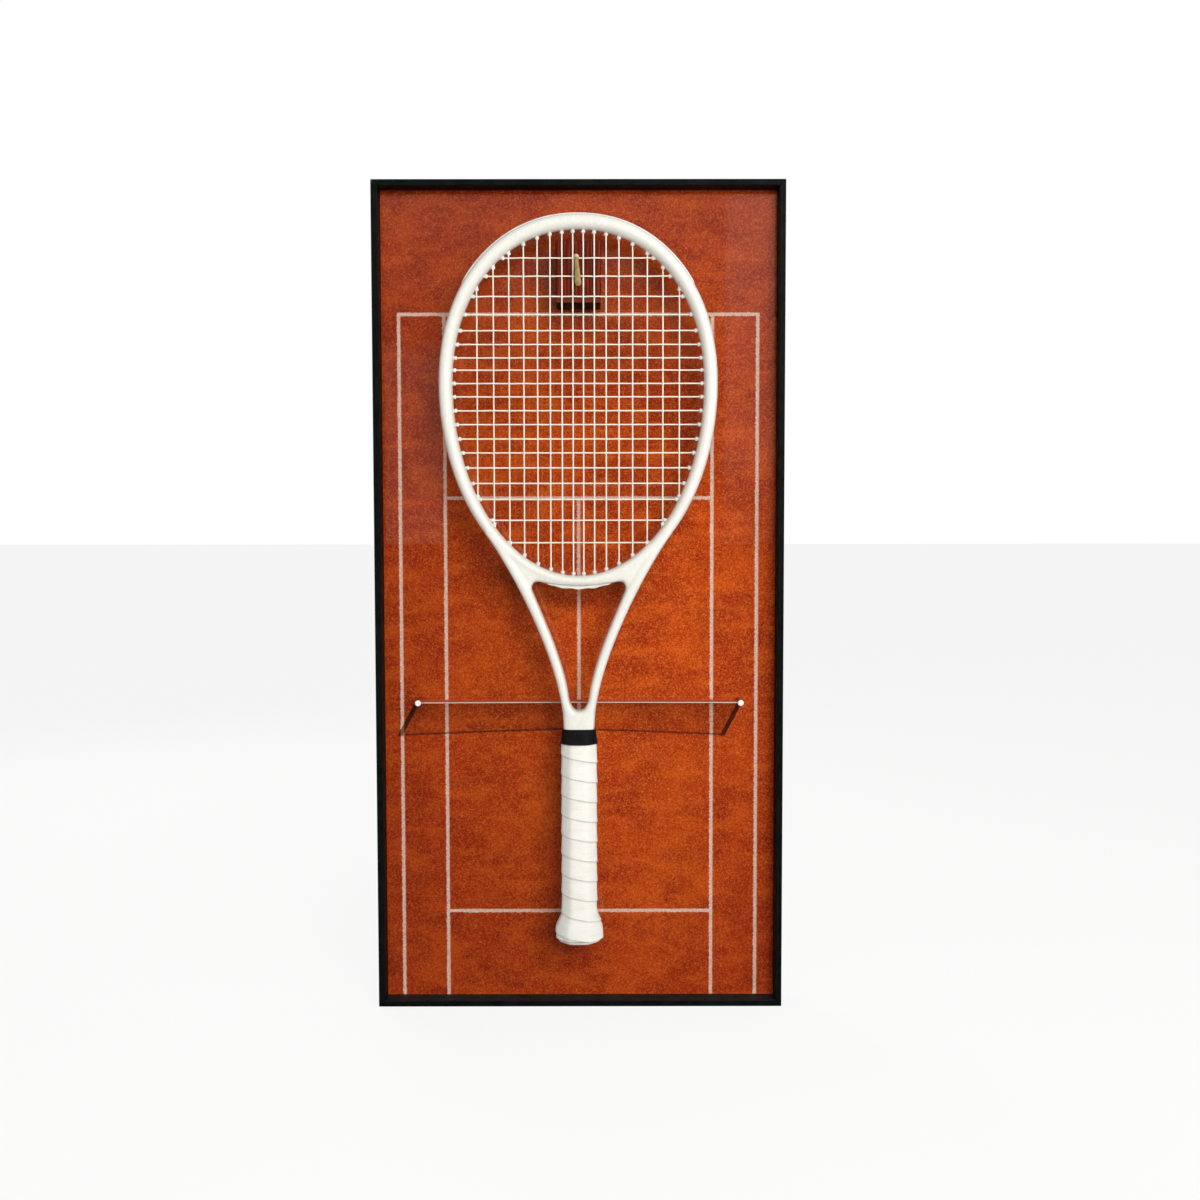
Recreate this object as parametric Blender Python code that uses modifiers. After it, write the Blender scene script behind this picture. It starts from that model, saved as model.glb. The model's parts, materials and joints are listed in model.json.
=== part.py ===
"""Racket display frame: a slim black tray frame with a clay court print behind clear acrylic,
a wooden block with a brass hook, a little net across the court, and a white racket that hangs
on the hook by its strings.

X runs to the right, Z up, and the wall lies in the plane Y = 0 behind the frame, so the front
faces -Y. The origin is on the rear face of the top rail, half way along it, where the frame
lies against the wall. Lengths are in metres.
"""
import math

import bmesh
import bpy
from mathutils import Matrix, Vector
from mathutils.geometry import interpolate_bezier

MM = 0.001

# Clearance between pieces that touch, and how far a cutter runs out past a surface it opens.
GAP = 0.3 * MM
CUT_PAST = 5 * MM

# Tray frame: four mitred rails of L section. The foot lies on the wall, the lip stands out.
FRAME_WIDTH = 390 * MM
FRAME_HEIGHT = 790 * MM
FRAME_DEPTH = 34 * MM
LIP_THICKNESS = 6 * MM
FOOT_WIDTH = 20 * MM
FOOT_THICKNESS = 8 * MM
LIP_ROUNDING = 0.6 * MM

# Panel: backing board, printed sheet and clear acrylic, one in front of the other.
BOARD_THICKNESS = 6 * MM
PRINT_THICKNESS = 0.5 * MM
ACRYLIC_THICKNESS = 2 * MM

# Steel corner brackets, let into the back of the rails.
BRACKET_ARM = 44 * MM
BRACKET_WIDTH = 11 * MM
BRACKET_THICKNESS = 1.5 * MM
BRACKET_INSET = 4.5 * MM

# Keyhole plates, let into the back of the top rail.
KEYHOLE_INSET = 85 * MM
KEYHOLE_PLATE_LENGTH = 46 * MM
KEYHOLE_PLATE_HEIGHT = 15 * MM
KEYHOLE_PLATE_THICKNESS = 1.5 * MM
KEYHOLE_ENTRY_RADIUS = 4 * MM
KEYHOLE_SLOT_WIDTH = 4.4 * MM
KEYHOLE_SLOT_RISE = 6 * MM
KEYHOLE_POCKET_DEPTH = 6.2 * MM
KEYHOLE_SCREW_SPREAD = 33 * MM
KEYHOLE_ROOM = 0.5 * MM

# Countersunk screws.
SMALL_SCREW_RADIUS = 1.3 * MM
SMALL_SCREW_HEAD_RADIUS = 2.6 * MM
SMALL_SCREW_HEAD_HEIGHT = 1.3 * MM
SMALL_SCREW_LENGTH = 6 * MM
PANEL_SCREW_RADIUS = 1.6 * MM
PANEL_SCREW_HEAD_RADIUS = 3.2 * MM
PANEL_SCREW_HEAD_HEIGHT = 2 * MM
PANEL_SCREW_BITE = 4.2 * MM
PANEL_SCREW_SPACING = 250 * MM
BLOCK_SCREW_RADIUS = 1.9 * MM
BLOCK_SCREW_HEAD_RADIUS = 3.8 * MM
BLOCK_SCREW_HEAD_HEIGHT = 2.4 * MM
BLOCK_SCREW_BITE = 14 * MM
BLOCK_SCREW_SPACING = 34 * MM

# Wooden block that carries the hook. Heights are above the middle of the frame.
BLOCK_WIDTH = 41.8 * MM
BLOCK_HEIGHT = 57.4 * MM
BLOCK_DEPTH = 36 * MM
BLOCK_CENTRE_HEIGHT = 305.4 * MM
BLOCK_CHAMFER = 1.2 * MM

# Brass hook: a level shank in the block, an elbow, and an arm that slopes up to a ball.
HOOK_BELOW_BLOCK_CENTRE = 10.4 * MM
HOOK_RADIUS = 2.9 * MM
HOOK_NECK_RADIUS = 1.5 * MM
HOOK_BALL_RADIUS = 2.6 * MM
HOOK_ARM_LENGTH = 28 * MM
HOOK_SLOPE = math.radians(45)
HOOK_LEAN = math.radians(3.5)
HOOK_ELBOW_STANDOFF = 1.3 * MM
HOOK_SHANK_RADIUS = 2 * MM
HOOK_SHANK_LENGTH = 15 * MM
HOOK_SEAT_DEPTH = 2.2 * MM

# Net across the court, square to the panel, between two posts.
NET_BELOW_CENTRE = 98 * MM
POST_INSET = 41.5 * MM
POST_RADIUS = 2.25 * MM
POST_CAP_RADIUS = 2.85 * MM
POST_CAP_HEIGHT = 2.2 * MM
POST_HEIGHT = 26 * MM
POST_TENON = 7 * MM
NET_BAND_RADIUS = 0.95 * MM
NET_HEIGHT_AT_POSTS = 22 * MM
NET_HEIGHT_AT_MIDDLE = 18.5 * MM
NET_STRAND = 0.7 * MM
NET_COLUMNS = 22
NET_ROWS = 3

# Racket. Its own heights are from the widest line of the head, and half widths from its middle.
RACKET_LENGTH = 680 * MM
HEAD_HALF_WIDTH = 129.6 * MM
HEAD_RISE = 155.5 * MM
HEAD_DROP = 187.8 * MM
HEAD_ROUNDNESS_ABOVE = 2.12
HEAD_ROUNDNESS_BELOW = 2.0
HOOP_SIDE_WIDTH = 13.1 * MM
HOOP_TOP_WIDTH = 14.3 * MM
BRIDGE_WIDTH = 10 * MM
RACKET_THICKNESS = 21.5 * MM
RACKET_ROUNDING = 4.4 * MM
HEAD_SEGMENTS = 30

# Throat: two arms that leave the head and meet above the grip.
ARM_LEAVES_HEAD = 0.735
ARM_OUTER_EASE_TOP = 0.2
ARM_OUTER_EASE_BOTTOM = 0.3
SHAFT_HALF_WIDTH = 14.7 * MM
THROAT_LENGTH = 117.4 * MM
THROAT_CORNER_OFFSET = 38.3 * MM
THROAT_CORNER_RISE = 4.3 * MM
THROAT_CORNER_RADIUS = 5.5 * MM
THROAT_BOTTOM_RADIUS = 8.8 * MM
ARM_SEGMENTS = 9

# Bumper guard let into the crown of the head, and the grommet strip under the bridge.
BUMPER_SPREAD = math.radians(55)
BUMPER_STEPS = 14
BUMPER_WIDTH = 9.4 * MM
BUMPER_THICKNESS = 1.7 * MM
BUMPER_PROUD = 0.5 * MM
GROMMET_STRIP_HALF_WIDTH = 30 * MM
GROMMET_STRIP_THICKNESS = 3 * MM
GROMMET_STRIP_TIP = 0.8 * MM
GROMMET_STRIP_DEPTH = 9 * MM
GROMMET_STRIP_WAVE = 0.4 * MM

# Strings: sixteen mains and nineteen crosses, three-sided, with their ridges pressed together.
STRING_RADIUS = 0.8 * MM
STRING_PRESS = 0.5 * MM
STRING_END_CLEARANCE = 0.5 * MM
STRINGS_BEFORE_BLOCK = 2.2 * MM
MAIN_PAIRS = 8
MAIN_FIRST = 4.85 * MM
MAIN_SPACING = 10.1 * MM
MAIN_SPACING_GROWTH = 0.87 * MM
CROSS_FIRST_BELOW_TOP = 40.2 * MM
CROSS_SPACINGS = [16.6, 18.5, 16.6, 14.7, 12.7, 12.3, 11.3, 12.3, 12.3, 12.8, 12.8, 13.3, 12.9, 13.9,
                  14.4, 14.9, 19.4, 20.9]
HANGING_CROSS = 1

# Handle: moulded octagonal pallet on the frame's core, butt cap, wound grip and rubber collar.
GRIP_LENGTH = 188.6 * MM
COLLAR_LENGTH = 14.2 * MM
COLLAR_CLEARANCE = 0.4 * MM
COLLAR_LIP = 0.8 * MM
COLLAR_PROUD = 1 * MM
CORE_HALF_WIDTH = 9.5 * MM
PALLET_HALF_WIDTH = 15.2 * MM
PALLET_HALF_DEPTH = 13.4 * MM
BUTT_CAP_LENGTH = 30 * MM
BUTT_FLARE_HALF_WIDTH = 20.8 * MM
BUTT_FLARE_HEIGHT = 12 * MM
BUTT_END_ROUNDING = 4 * MM
CORE_IN_BUTT_CAP = 12 * MM
TAPE_THICKNESS = 1.4 * MM
TAPE_LAP = 0.5 * MM
TAPE_PITCH = 18.8 * MM
TAPE_SEAM = 0.5 * MM
TAPE_ABOVE_BUTT = 5 * MM

# Sides of a turned screw and of its hole.
SCREW_SIDES = 8

# Places that follow from the sizes above. Depths are measured out from the wall.
CENTRE_Z = -(FRAME_HEIGHT - FOOT_WIDTH) / 2
BOARD_REAR = FOOT_THICKNESS + GAP
PRINT_REAR = BOARD_REAR + BOARD_THICKNESS + GAP
ACRYLIC_REAR = PRINT_REAR + PRINT_THICKNESS + GAP
ACRYLIC_FACE = ACRYLIC_REAR + ACRYLIC_THICKNESS
PANEL_WIDTH = FRAME_WIDTH - 2 * (LIP_THICKNESS + GAP)
PANEL_HEIGHT = FRAME_HEIGHT - 2 * (LIP_THICKNESS + GAP)
BLOCK_REAR = ACRYLIC_FACE + GAP
BLOCK_FACE = BLOCK_REAR + BLOCK_DEPTH
HOOK_DEPTH = BLOCK_FACE + HOOK_ELBOW_STANDOFF
HOOK_HEIGHT = BLOCK_CENTRE_HEIGHT - HOOK_BELOW_BLOCK_CENTRE
STRING_PLANE = BLOCK_FACE + STRINGS_BEFORE_BLOCK
POST_REACH = FRAME_WIDTH / 2 - POST_INSET

# The hanging cross string rests on the upper side of the hook's sloping arm.
STRING_OFFSET = STRING_RADIUS - STRING_PRESS / 2
CROSS_PLANE = STRING_PLANE - STRING_OFFSET
CROSS_OFF_ARM = HOOK_RADIUS + GAP + STRING_RADIUS * math.sin(HOOK_SLOPE)
CROSS_BEFORE_HOOK = CROSS_PLANE - HOOK_DEPTH
CROSS_ABOVE_HOOK = (CROSS_OFF_ARM + CROSS_BEFORE_HOOK * math.sin(HOOK_SLOPE)) / math.cos(HOOK_SLOPE)
HANGING_CROSS_HEIGHT = (HEAD_RISE - CROSS_FIRST_BELOW_TOP
                        - sum(CROSS_SPACINGS[:HANGING_CROSS]) * MM)
RACKET_HEIGHT = HOOK_HEIGHT + CROSS_ABOVE_HOOK - HANGING_CROSS_HEIGHT

# Heights in the racket's own measure.
BUTT_END = HEAD_RISE - RACKET_LENGTH
GRIP_TOP = BUTT_END + GRIP_LENGTH
COLLAR_TOP = GRIP_TOP + COLLAR_LENGTH
THROAT_BOTTOM = -HEAD_DROP - THROAT_LENGTH
THROAT_CORNER_TOP = -HEAD_DROP + THROAT_CORNER_RISE
BUTT_CAP_TOP = BUTT_END + BUTT_CAP_LENGTH
CORE_END = BUTT_CAP_TOP - CORE_IN_BUTT_CAP


def place(x, depth, height):
    """World position of a point given from the frame's middle and the wall."""
    return Vector((x, -depth, height + CENTRE_Z))


HOOK_PIVOT = place(0, HOOK_DEPTH, HOOK_HEIGHT)
RACKET_ORIGIN = place(0, STRING_PLANE, RACKET_HEIGHT)


def clear_scene():
    for old in list(bpy.data.objects):
        bpy.data.objects.remove(old, do_unlink=True)


def new_collection(name):
    group = bpy.data.collections.new(name)
    bpy.context.scene.collection.children.link(group)
    return group


clear_scene()
PARTS = new_collection("racket_display_frame")
CUTTERS = new_collection("cutters")


def new_material(name, colour, roughness, metallic=0.0):
    material = bpy.data.materials.new(name)
    material.use_nodes = True
    shader = material.node_tree.nodes["Principled BSDF"]
    shader.inputs["Base Color"].default_value = (*colour, 1.0)
    shader.inputs["Roughness"].default_value = roughness
    shader.inputs["Metallic"].default_value = metallic
    material.diffuse_color = (*colour, 1.0)
    return material


BLACK_LACQUER = new_material("black_lacquer", (0.012, 0.014, 0.013), 0.38)
BOARD_BROWN = new_material("board_brown", (0.36, 0.25, 0.16), 0.85)
CLAY_PRINT = new_material("clay_print", (0.42, 0.085, 0.035), 0.55)
CLEAR_ACRYLIC = new_material("clear_acrylic", (0.85, 0.88, 0.88), 0.05)
DARK_WOOD = new_material("dark_wood", (0.10, 0.030, 0.016), 0.5)
BRASS = new_material("brass", (0.72, 0.52, 0.20), 0.28, 1.0)
STEEL = new_material("zinc_steel", (0.55, 0.56, 0.57), 0.35, 1.0)
POST_WHITE = new_material("post_white", (0.82, 0.81, 0.78), 0.4)
NET_BROWN = new_material("net_brown", (0.10, 0.035, 0.025), 0.8)
NET_CORD = new_material("net_cord", (0.80, 0.78, 0.75), 0.8)
RACKET_WHITE = new_material("racket_white", (0.86, 0.86, 0.84), 0.25)
GUARD_WHITE = new_material("guard_white", (0.82, 0.82, 0.80), 0.45)
STRING_WHITE = new_material("string_white", (0.85, 0.84, 0.80), 0.35)
PALLET_GREY = new_material("pallet_grey", (0.30, 0.30, 0.30), 0.6)
GRIP_WHITE = new_material("grip_white", (0.84, 0.84, 0.82), 0.7)
COLLAR_BLACK = new_material("collar_black", (0.015, 0.015, 0.017), 0.5)


def add_object(name, mesh, material, location=(0, 0, 0), group=None):
    """Put a mesh in the scene as one named sub-part."""
    thing = bpy.data.objects.new(name, mesh)
    thing.location = location
    mesh.materials.clear()
    if material is not None:
        mesh.materials.append(material)
    (group or PARTS).objects.link(thing)
    return thing


def mesh_from(builder, name):
    mesh = bpy.data.meshes.new(name)
    builder.to_mesh(mesh)
    builder.free()
    return mesh


def shade_round(thing, angle=35):
    thing.data.shade_smooth()
    thing.data.set_sharp_from_angle(angle=math.radians(angle))


def box_mesh(name, size, centre=(0, 0, 0)):
    builder = bmesh.new()
    place_and_scale = Matrix.Translation(centre) @ Matrix.Diagonal((*size, 1))
    bmesh.ops.create_cube(builder, size=1, matrix=place_and_scale)
    return mesh_from(builder, name)


def panel_mesh(name, width, height, thickness):
    """A flat sheet whose rear face lies in its own plane Y = 0, centred on Z = 0."""
    return box_mesh(name, (width, thickness, height), (0, -thickness / 2, 0))


def turned_object(name, profile, material, segments, group=None):
    """Turn a profile of (radius, height) points, listed top to bottom, about Z."""
    builder = bmesh.new()
    points = [builder.verts.new((radius, 0, height)) for radius, height in profile]
    for upper, lower in zip(points, points[1:]):
        builder.edges.new((upper, lower))
    thing = add_object(name, mesh_from(builder, name), material, group=group)
    turn = thing.modifiers.new("turn", "SCREW")
    turn.axis = "Z"
    turn.angle = 2 * math.pi
    turn.steps = turn.render_steps = segments
    turn.use_merge_vertices = True
    turn.merge_threshold = 0.000001
    weld = thing.modifiers.new("close_ends", "WELD")
    weld.merge_threshold = 0.000001
    return thing


def point_forward(thing, position):
    """Lay a piece's own +Z along the outward direction -Y, with its origin at a position."""
    thing.rotation_euler = (math.radians(90), 0, 0)
    thing.location = position


def curve_mesh(name, curve):
    """Turn a curve into a closed mesh and remove the curve object."""
    holder = bpy.data.objects.new(name + "_curve", curve)
    CUTTERS.objects.link(holder)
    depsgraph = bpy.context.evaluated_depsgraph_get()
    mesh = bpy.data.meshes.new_from_object(holder.evaluated_get(depsgraph))
    mesh.name = name
    bpy.data.objects.remove(holder, do_unlink=True)
    builder = bmesh.new()
    builder.from_mesh(mesh)
    bmesh.ops.remove_doubles(builder, verts=builder.verts, dist=0.000005)
    bmesh.ops.recalc_face_normals(builder, faces=builder.faces)
    builder.to_mesh(mesh)
    builder.free()
    return mesh


def outline_mesh(name, outlines, thickness, rounding=0.0, rounding_steps=1):
    """Fill flat outlines of (x, z) points, make them this thick along Y and round the edges."""
    curve = bpy.data.curves.new(name, "CURVE")
    curve.dimensions = "2D"
    curve.fill_mode = "BOTH"
    curve.extrude = thickness / 2 - rounding
    curve.bevel_depth = rounding
    curve.bevel_resolution = rounding_steps
    curve.offset = -rounding
    for outline in outlines:
        spline = curve.splines.new("POLY")
        spline.points.add(len(outline) - 1)
        for point, (x, z) in zip(spline.points, outline):
            point.co = (x, z, 0, 1)
        spline.use_cyclic_u = True
    mesh = curve_mesh(name, curve)
    mesh.transform(Matrix.Rotation(math.radians(90), 4, "X"))
    return mesh


def cut_holes(thing, cutters):
    """Cut a piece with a group of cutters."""
    group = bpy.data.collections.new("holes_in_" + thing.name)
    CUTTERS.children.link(group)
    for cutter in cutters:
        group.objects.link(cutter)
    holes = thing.modifiers.new("holes", "BOOLEAN")
    holes.solver = "EXACT"
    holes.operand_type = "COLLECTION"
    holes.collection = group


def as_cutter(thing):
    thing.hide_render = True
    thing.display_type = "WIRE"
    return thing


# Countersunk screws and the holes that they sit in

def screw_profile(radius, head_radius, head_height, length, spare=0.0, over=0.0):
    """Profile of a screw whose head lies at height 0 and whose shank runs up along +Z.

    With a spare it is the hole for the same screw, and over lets the hole run out of the wood.
    """
    tip = length + spare
    return [
        (0, tip),
        (radius * 0.6 + spare, tip),
        (radius + spare, tip - radius),
        (radius + spare, head_height + spare),
        (head_radius + spare, 0),
        (head_radius + spare, -over),
        (0, -over),
    ]


def screw_set(name, kind, position, length, group):
    """One screw and its hole. The screw is driven forward, from the wall side."""
    radius, head_radius, head_height = kind
    screw = turned_object(name, screw_profile(radius, head_radius, head_height, length), STEEL, SCREW_SIDES)
    point_forward(screw, position)
    profile = screw_profile(radius, head_radius, head_height, length, GAP, over=CUT_PAST)
    hole = as_cutter(turned_object("hole_for_" + name, profile, None, SCREW_SIDES, CUTTERS))
    point_forward(hole, position)
    group.append(hole)
    return screw


SMALL_SCREW = (SMALL_SCREW_RADIUS, SMALL_SCREW_HEAD_RADIUS, SMALL_SCREW_HEAD_HEIGHT)
PANEL_SCREW = (PANEL_SCREW_RADIUS, PANEL_SCREW_HEAD_RADIUS, PANEL_SCREW_HEAD_HEIGHT)
BLOCK_SCREW = (BLOCK_SCREW_RADIUS, BLOCK_SCREW_HEAD_RADIUS, BLOCK_SCREW_HEAD_HEIGHT)


# Rails of the tray frame

def rail_mesh(name, length):
    """An L section run along X and mitred at both ends, its outer face on Z = 0.

    The section's first measure runs in towards the picture, the second out from the wall.
    """
    section = [
        (0, 0),
        (FOOT_WIDTH, 0),
        (FOOT_WIDTH, FOOT_THICKNESS),
        (LIP_THICKNESS, FOOT_THICKNESS),
        (LIP_THICKNESS, FRAME_DEPTH - LIP_ROUNDING),
        (LIP_THICKNESS - LIP_ROUNDING, FRAME_DEPTH),
        (LIP_ROUNDING, FRAME_DEPTH),
        (0, FRAME_DEPTH - LIP_ROUNDING),
    ]
    builder = bmesh.new()
    loop = [builder.verts.new((-length / 2, -depth, -inward)) for inward, depth in section]
    face = builder.faces.new(loop)
    run = bmesh.ops.extrude_face_region(builder, geom=[face])
    far_end = [item for item in run["geom"] if isinstance(item, bmesh.types.BMVert)]
    bmesh.ops.translate(builder, verts=far_end, vec=(length, 0, 0))
    for corner in builder.verts:
        side = math.copysign(1, corner.co.x)
        corner.co.x = side * (length / 2 + corner.co.z - GAP / math.sqrt(2))
    bmesh.ops.recalc_face_normals(builder, faces=builder.faces)
    return mesh_from(builder, name)


def build_rails():
    """Top, right, bottom and left rails, each turned into its place round the frame."""
    rails = {}
    turns = [("rail_top", FRAME_WIDTH, FRAME_HEIGHT, 0), ("rail_right", FRAME_HEIGHT, FRAME_WIDTH, 90),
             ("rail_bottom", FRAME_WIDTH, FRAME_HEIGHT, 180), ("rail_left", FRAME_HEIGHT, FRAME_WIDTH, 270)]
    for name, length, across, angle in turns:
        rail = add_object(name, rail_mesh(name, length), BLACK_LACQUER)
        turn = math.radians(angle)
        rail.rotation_euler = (0, turn, 0)
        rail.location = place(math.sin(turn) * across / 2, 0, math.cos(turn) * across / 2)
        rails[name] = rail
    return rails


# Corner brackets, let in flush with the back of the rails

def bracket_outline(spare=0.0):
    """An L of two equal arms in the corner x > 0, z > 0, measured from the frame's corner inwards."""
    near = BRACKET_INSET - spare
    far = BRACKET_INSET + BRACKET_WIDTH + spare
    tip = BRACKET_INSET + BRACKET_ARM + spare
    return [(near, near), (tip, near), (tip, far), (far, far), (far, tip), (near, tip)]


def corner_outline(outline, side, top):
    """Carry an outline from the corner x > 0, z > 0 to a corner of the frame."""
    return [(side * (FRAME_WIDTH / 2 - x), top * (FRAME_HEIGHT / 2 - z)) for x, z in outline]


def build_brackets(rail_cutters):
    screw_along = BRACKET_INSET + BRACKET_ARM - BRACKET_WIDTH / 2
    screw_across = BRACKET_INSET + BRACKET_WIDTH / 2
    corners = [("top_left", -1, 1), ("top_right", 1, 1), ("bottom_right", 1, -1), ("bottom_left", -1, -1)]
    for corner_name, side, top in corners:
        plate_mesh = outline_mesh("corner_bracket_" + corner_name,
                                  [corner_outline(bracket_outline(), side, top)], BRACKET_THICKNESS)
        middle = GAP + BRACKET_THICKNESS / 2
        plate = add_object(plate_mesh.name, plate_mesh, STEEL, place(0, middle, 0))
        pocket_thickness = 2 * (BRACKET_THICKNESS + 2 * GAP)
        pocket_mesh = outline_mesh("pocket_" + corner_name,
                                   [corner_outline(bracket_outline(GAP), side, top)], pocket_thickness)
        pocket = as_cutter(add_object(pocket_mesh.name, pocket_mesh, None, place(0, 0, 0), CUTTERS))
        holes = []
        for arm, (x, z) in enumerate([(screw_along, screw_across), (screw_across, screw_along)]):
            spot = corner_outline([(x, z)], side, top)[0]
            screw_set(f"bracket_screw_{corner_name}_{arm + 1}", SMALL_SCREW,
                      place(spot[0], GAP, spot[1]), SMALL_SCREW_LENGTH, holes)
        cut_holes(plate, holes)
        across_rail = "rail_top" if top > 0 else "rail_bottom"
        upright_rail = "rail_right" if side > 0 else "rail_left"
        rail_cutters[across_rail] += [pocket, holes[0]]
        rail_cutters[upright_rail] += [pocket, holes[1]]


# Keyhole plates, which the wall's screws hold

def keyhole_outline():
    """Round entry hole with a narrower slot that rises from it, closed by a half round."""
    half_slot = KEYHOLE_SLOT_WIDTH / 2
    leave = math.asin(half_slot / KEYHOLE_ENTRY_RADIUS)
    points = []
    for step in range(11):
        angle = math.pi / 2 - leave - step * (2 * math.pi - 2 * leave) / 10
        points.append((KEYHOLE_ENTRY_RADIUS * math.cos(angle), KEYHOLE_ENTRY_RADIUS * math.sin(angle)))
    for step in range(5):
        angle = math.pi - step * math.pi / 4
        points.append((half_slot * math.cos(angle), KEYHOLE_SLOT_RISE + half_slot * math.sin(angle)))
    return points


def build_keyhole_plates(rail_cutters):
    keyhole_height = FRAME_HEIGHT / 2 - FOOT_WIDTH / 2
    entry_drop = (KEYHOLE_SLOT_RISE + KEYHOLE_SLOT_WIDTH / 2 - KEYHOLE_ENTRY_RADIUS) / 2
    half_length = KEYHOLE_PLATE_LENGTH / 2
    half_height = KEYHOLE_PLATE_HEIGHT / 2
    for side_name, side in [("left", -1), ("right", 1)]:
        x = side * (FRAME_WIDTH / 2 - KEYHOLE_INSET)
        plate_outline = [(x + a * half_length, keyhole_height + b * half_height)
                         for a, b in ((-1, -1), (1, -1), (1, 1), (-1, 1))]
        opening = [(x + u, keyhole_height - entry_drop + v) for u, v in keyhole_outline()]
        plate_mesh = outline_mesh("keyhole_plate_" + side_name, [plate_outline, opening],
                                  KEYHOLE_PLATE_THICKNESS)
        plate = add_object(plate_mesh.name, plate_mesh, STEEL,
                           place(0, GAP + KEYHOLE_PLATE_THICKNESS / 2, 0))
        seat = (KEYHOLE_PLATE_LENGTH + 2 * GAP, 2 * (KEYHOLE_PLATE_THICKNESS + 2 * GAP),
                KEYHOLE_PLATE_HEIGHT + 2 * GAP)
        seat_mesh = box_mesh("keyhole_seat_" + side_name, seat)
        seat_cutter = as_cutter(add_object(seat_mesh.name, seat_mesh, None,
                                           place(x, 0, keyhole_height), CUTTERS))
        room = (2 * (KEYHOLE_ENTRY_RADIUS + KEYHOLE_ROOM), 2 * KEYHOLE_POCKET_DEPTH,
                KEYHOLE_SLOT_RISE + KEYHOLE_ENTRY_RADIUS + KEYHOLE_SLOT_WIDTH / 2 + 2 * KEYHOLE_ROOM)
        room_mesh = box_mesh("keyhole_room_" + side_name, room)
        room_cutter = as_cutter(add_object(room_mesh.name, room_mesh, None,
                                           place(x, 0, keyhole_height), CUTTERS))
        holes = []
        for screw_name, screw_side in [("a", -1), ("b", 1)]:
            position = place(x + screw_side * KEYHOLE_SCREW_SPREAD / 2, GAP, keyhole_height)
            screw_set(f"keyhole_screw_{side_name}_{screw_name}", SMALL_SCREW, position,
                      SMALL_SCREW_LENGTH, holes)
        cut_holes(plate, holes)
        rail_cutters["rail_top"] += [seat_cutter, room_cutter] + holes


# Panel of board, print and acrylic, screwed to the feet of the side rails

def build_panel(rail_cutters):
    board = add_object("backing_board", panel_mesh("backing_board", PANEL_WIDTH, PANEL_HEIGHT, BOARD_THICKNESS),
                       BOARD_BROWN, place(0, BOARD_REAR, 0))
    sheet = add_object("court_print", panel_mesh("court_print", PANEL_WIDTH, PANEL_HEIGHT, PRINT_THICKNESS),
                       CLAY_PRINT, place(0, PRINT_REAR, 0))
    acrylic = add_object("acrylic_sheet",
                         panel_mesh("acrylic_sheet", PANEL_WIDTH, PANEL_HEIGHT, ACRYLIC_THICKNESS),
                         CLEAR_ACRYLIC, place(0, ACRYLIC_REAR, 0))
    board_cutters = []
    screw_x = FRAME_WIDTH / 2 - (FOOT_WIDTH + LIP_THICKNESS) / 2
    screw_length = BOARD_REAR - GAP + PANEL_SCREW_BITE
    for side_name, side in [("left", -1), ("right", 1)]:
        for number, level in enumerate((1, 0, -1)):
            holes = []
            position = place(side * screw_x, GAP, level * PANEL_SCREW_SPACING)
            screw_set(f"panel_screw_{side_name}_{number + 1}", PANEL_SCREW, position, screw_length, holes)
            rail_cutters["rail_" + side_name] += holes
            board_cutters += holes
    return board, sheet, acrylic, board_cutters


# Wooden block and the two screws that hold it from behind

def build_block(panel_cutters, board_cutters):
    mesh = box_mesh("hook_block", (BLOCK_WIDTH, BLOCK_DEPTH, BLOCK_HEIGHT))
    block = add_object("hook_block", mesh, DARK_WOOD,
                       place(0, BLOCK_REAR + BLOCK_DEPTH / 2, BLOCK_CENTRE_HEIGHT))
    chamfer = block.modifiers.new("chamfer", "BEVEL")
    chamfer.width = BLOCK_CHAMFER
    chamfer.segments = 1
    holes = []
    screw_rear = BOARD_REAR + GAP
    screw_length = BLOCK_REAR + BLOCK_SCREW_BITE - screw_rear
    for screw_name, level in [("upper", 1), ("lower", -1)]:
        position = place(0, screw_rear, BLOCK_CENTRE_HEIGHT + level * BLOCK_SCREW_SPACING / 2)
        screw_set("block_screw_" + screw_name, BLOCK_SCREW, position, screw_length, holes)
    panel_cutters += holes
    board_cutters += holes
    return block, holes


# Brass hook on an empty that stands on the axis of its shank

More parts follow.
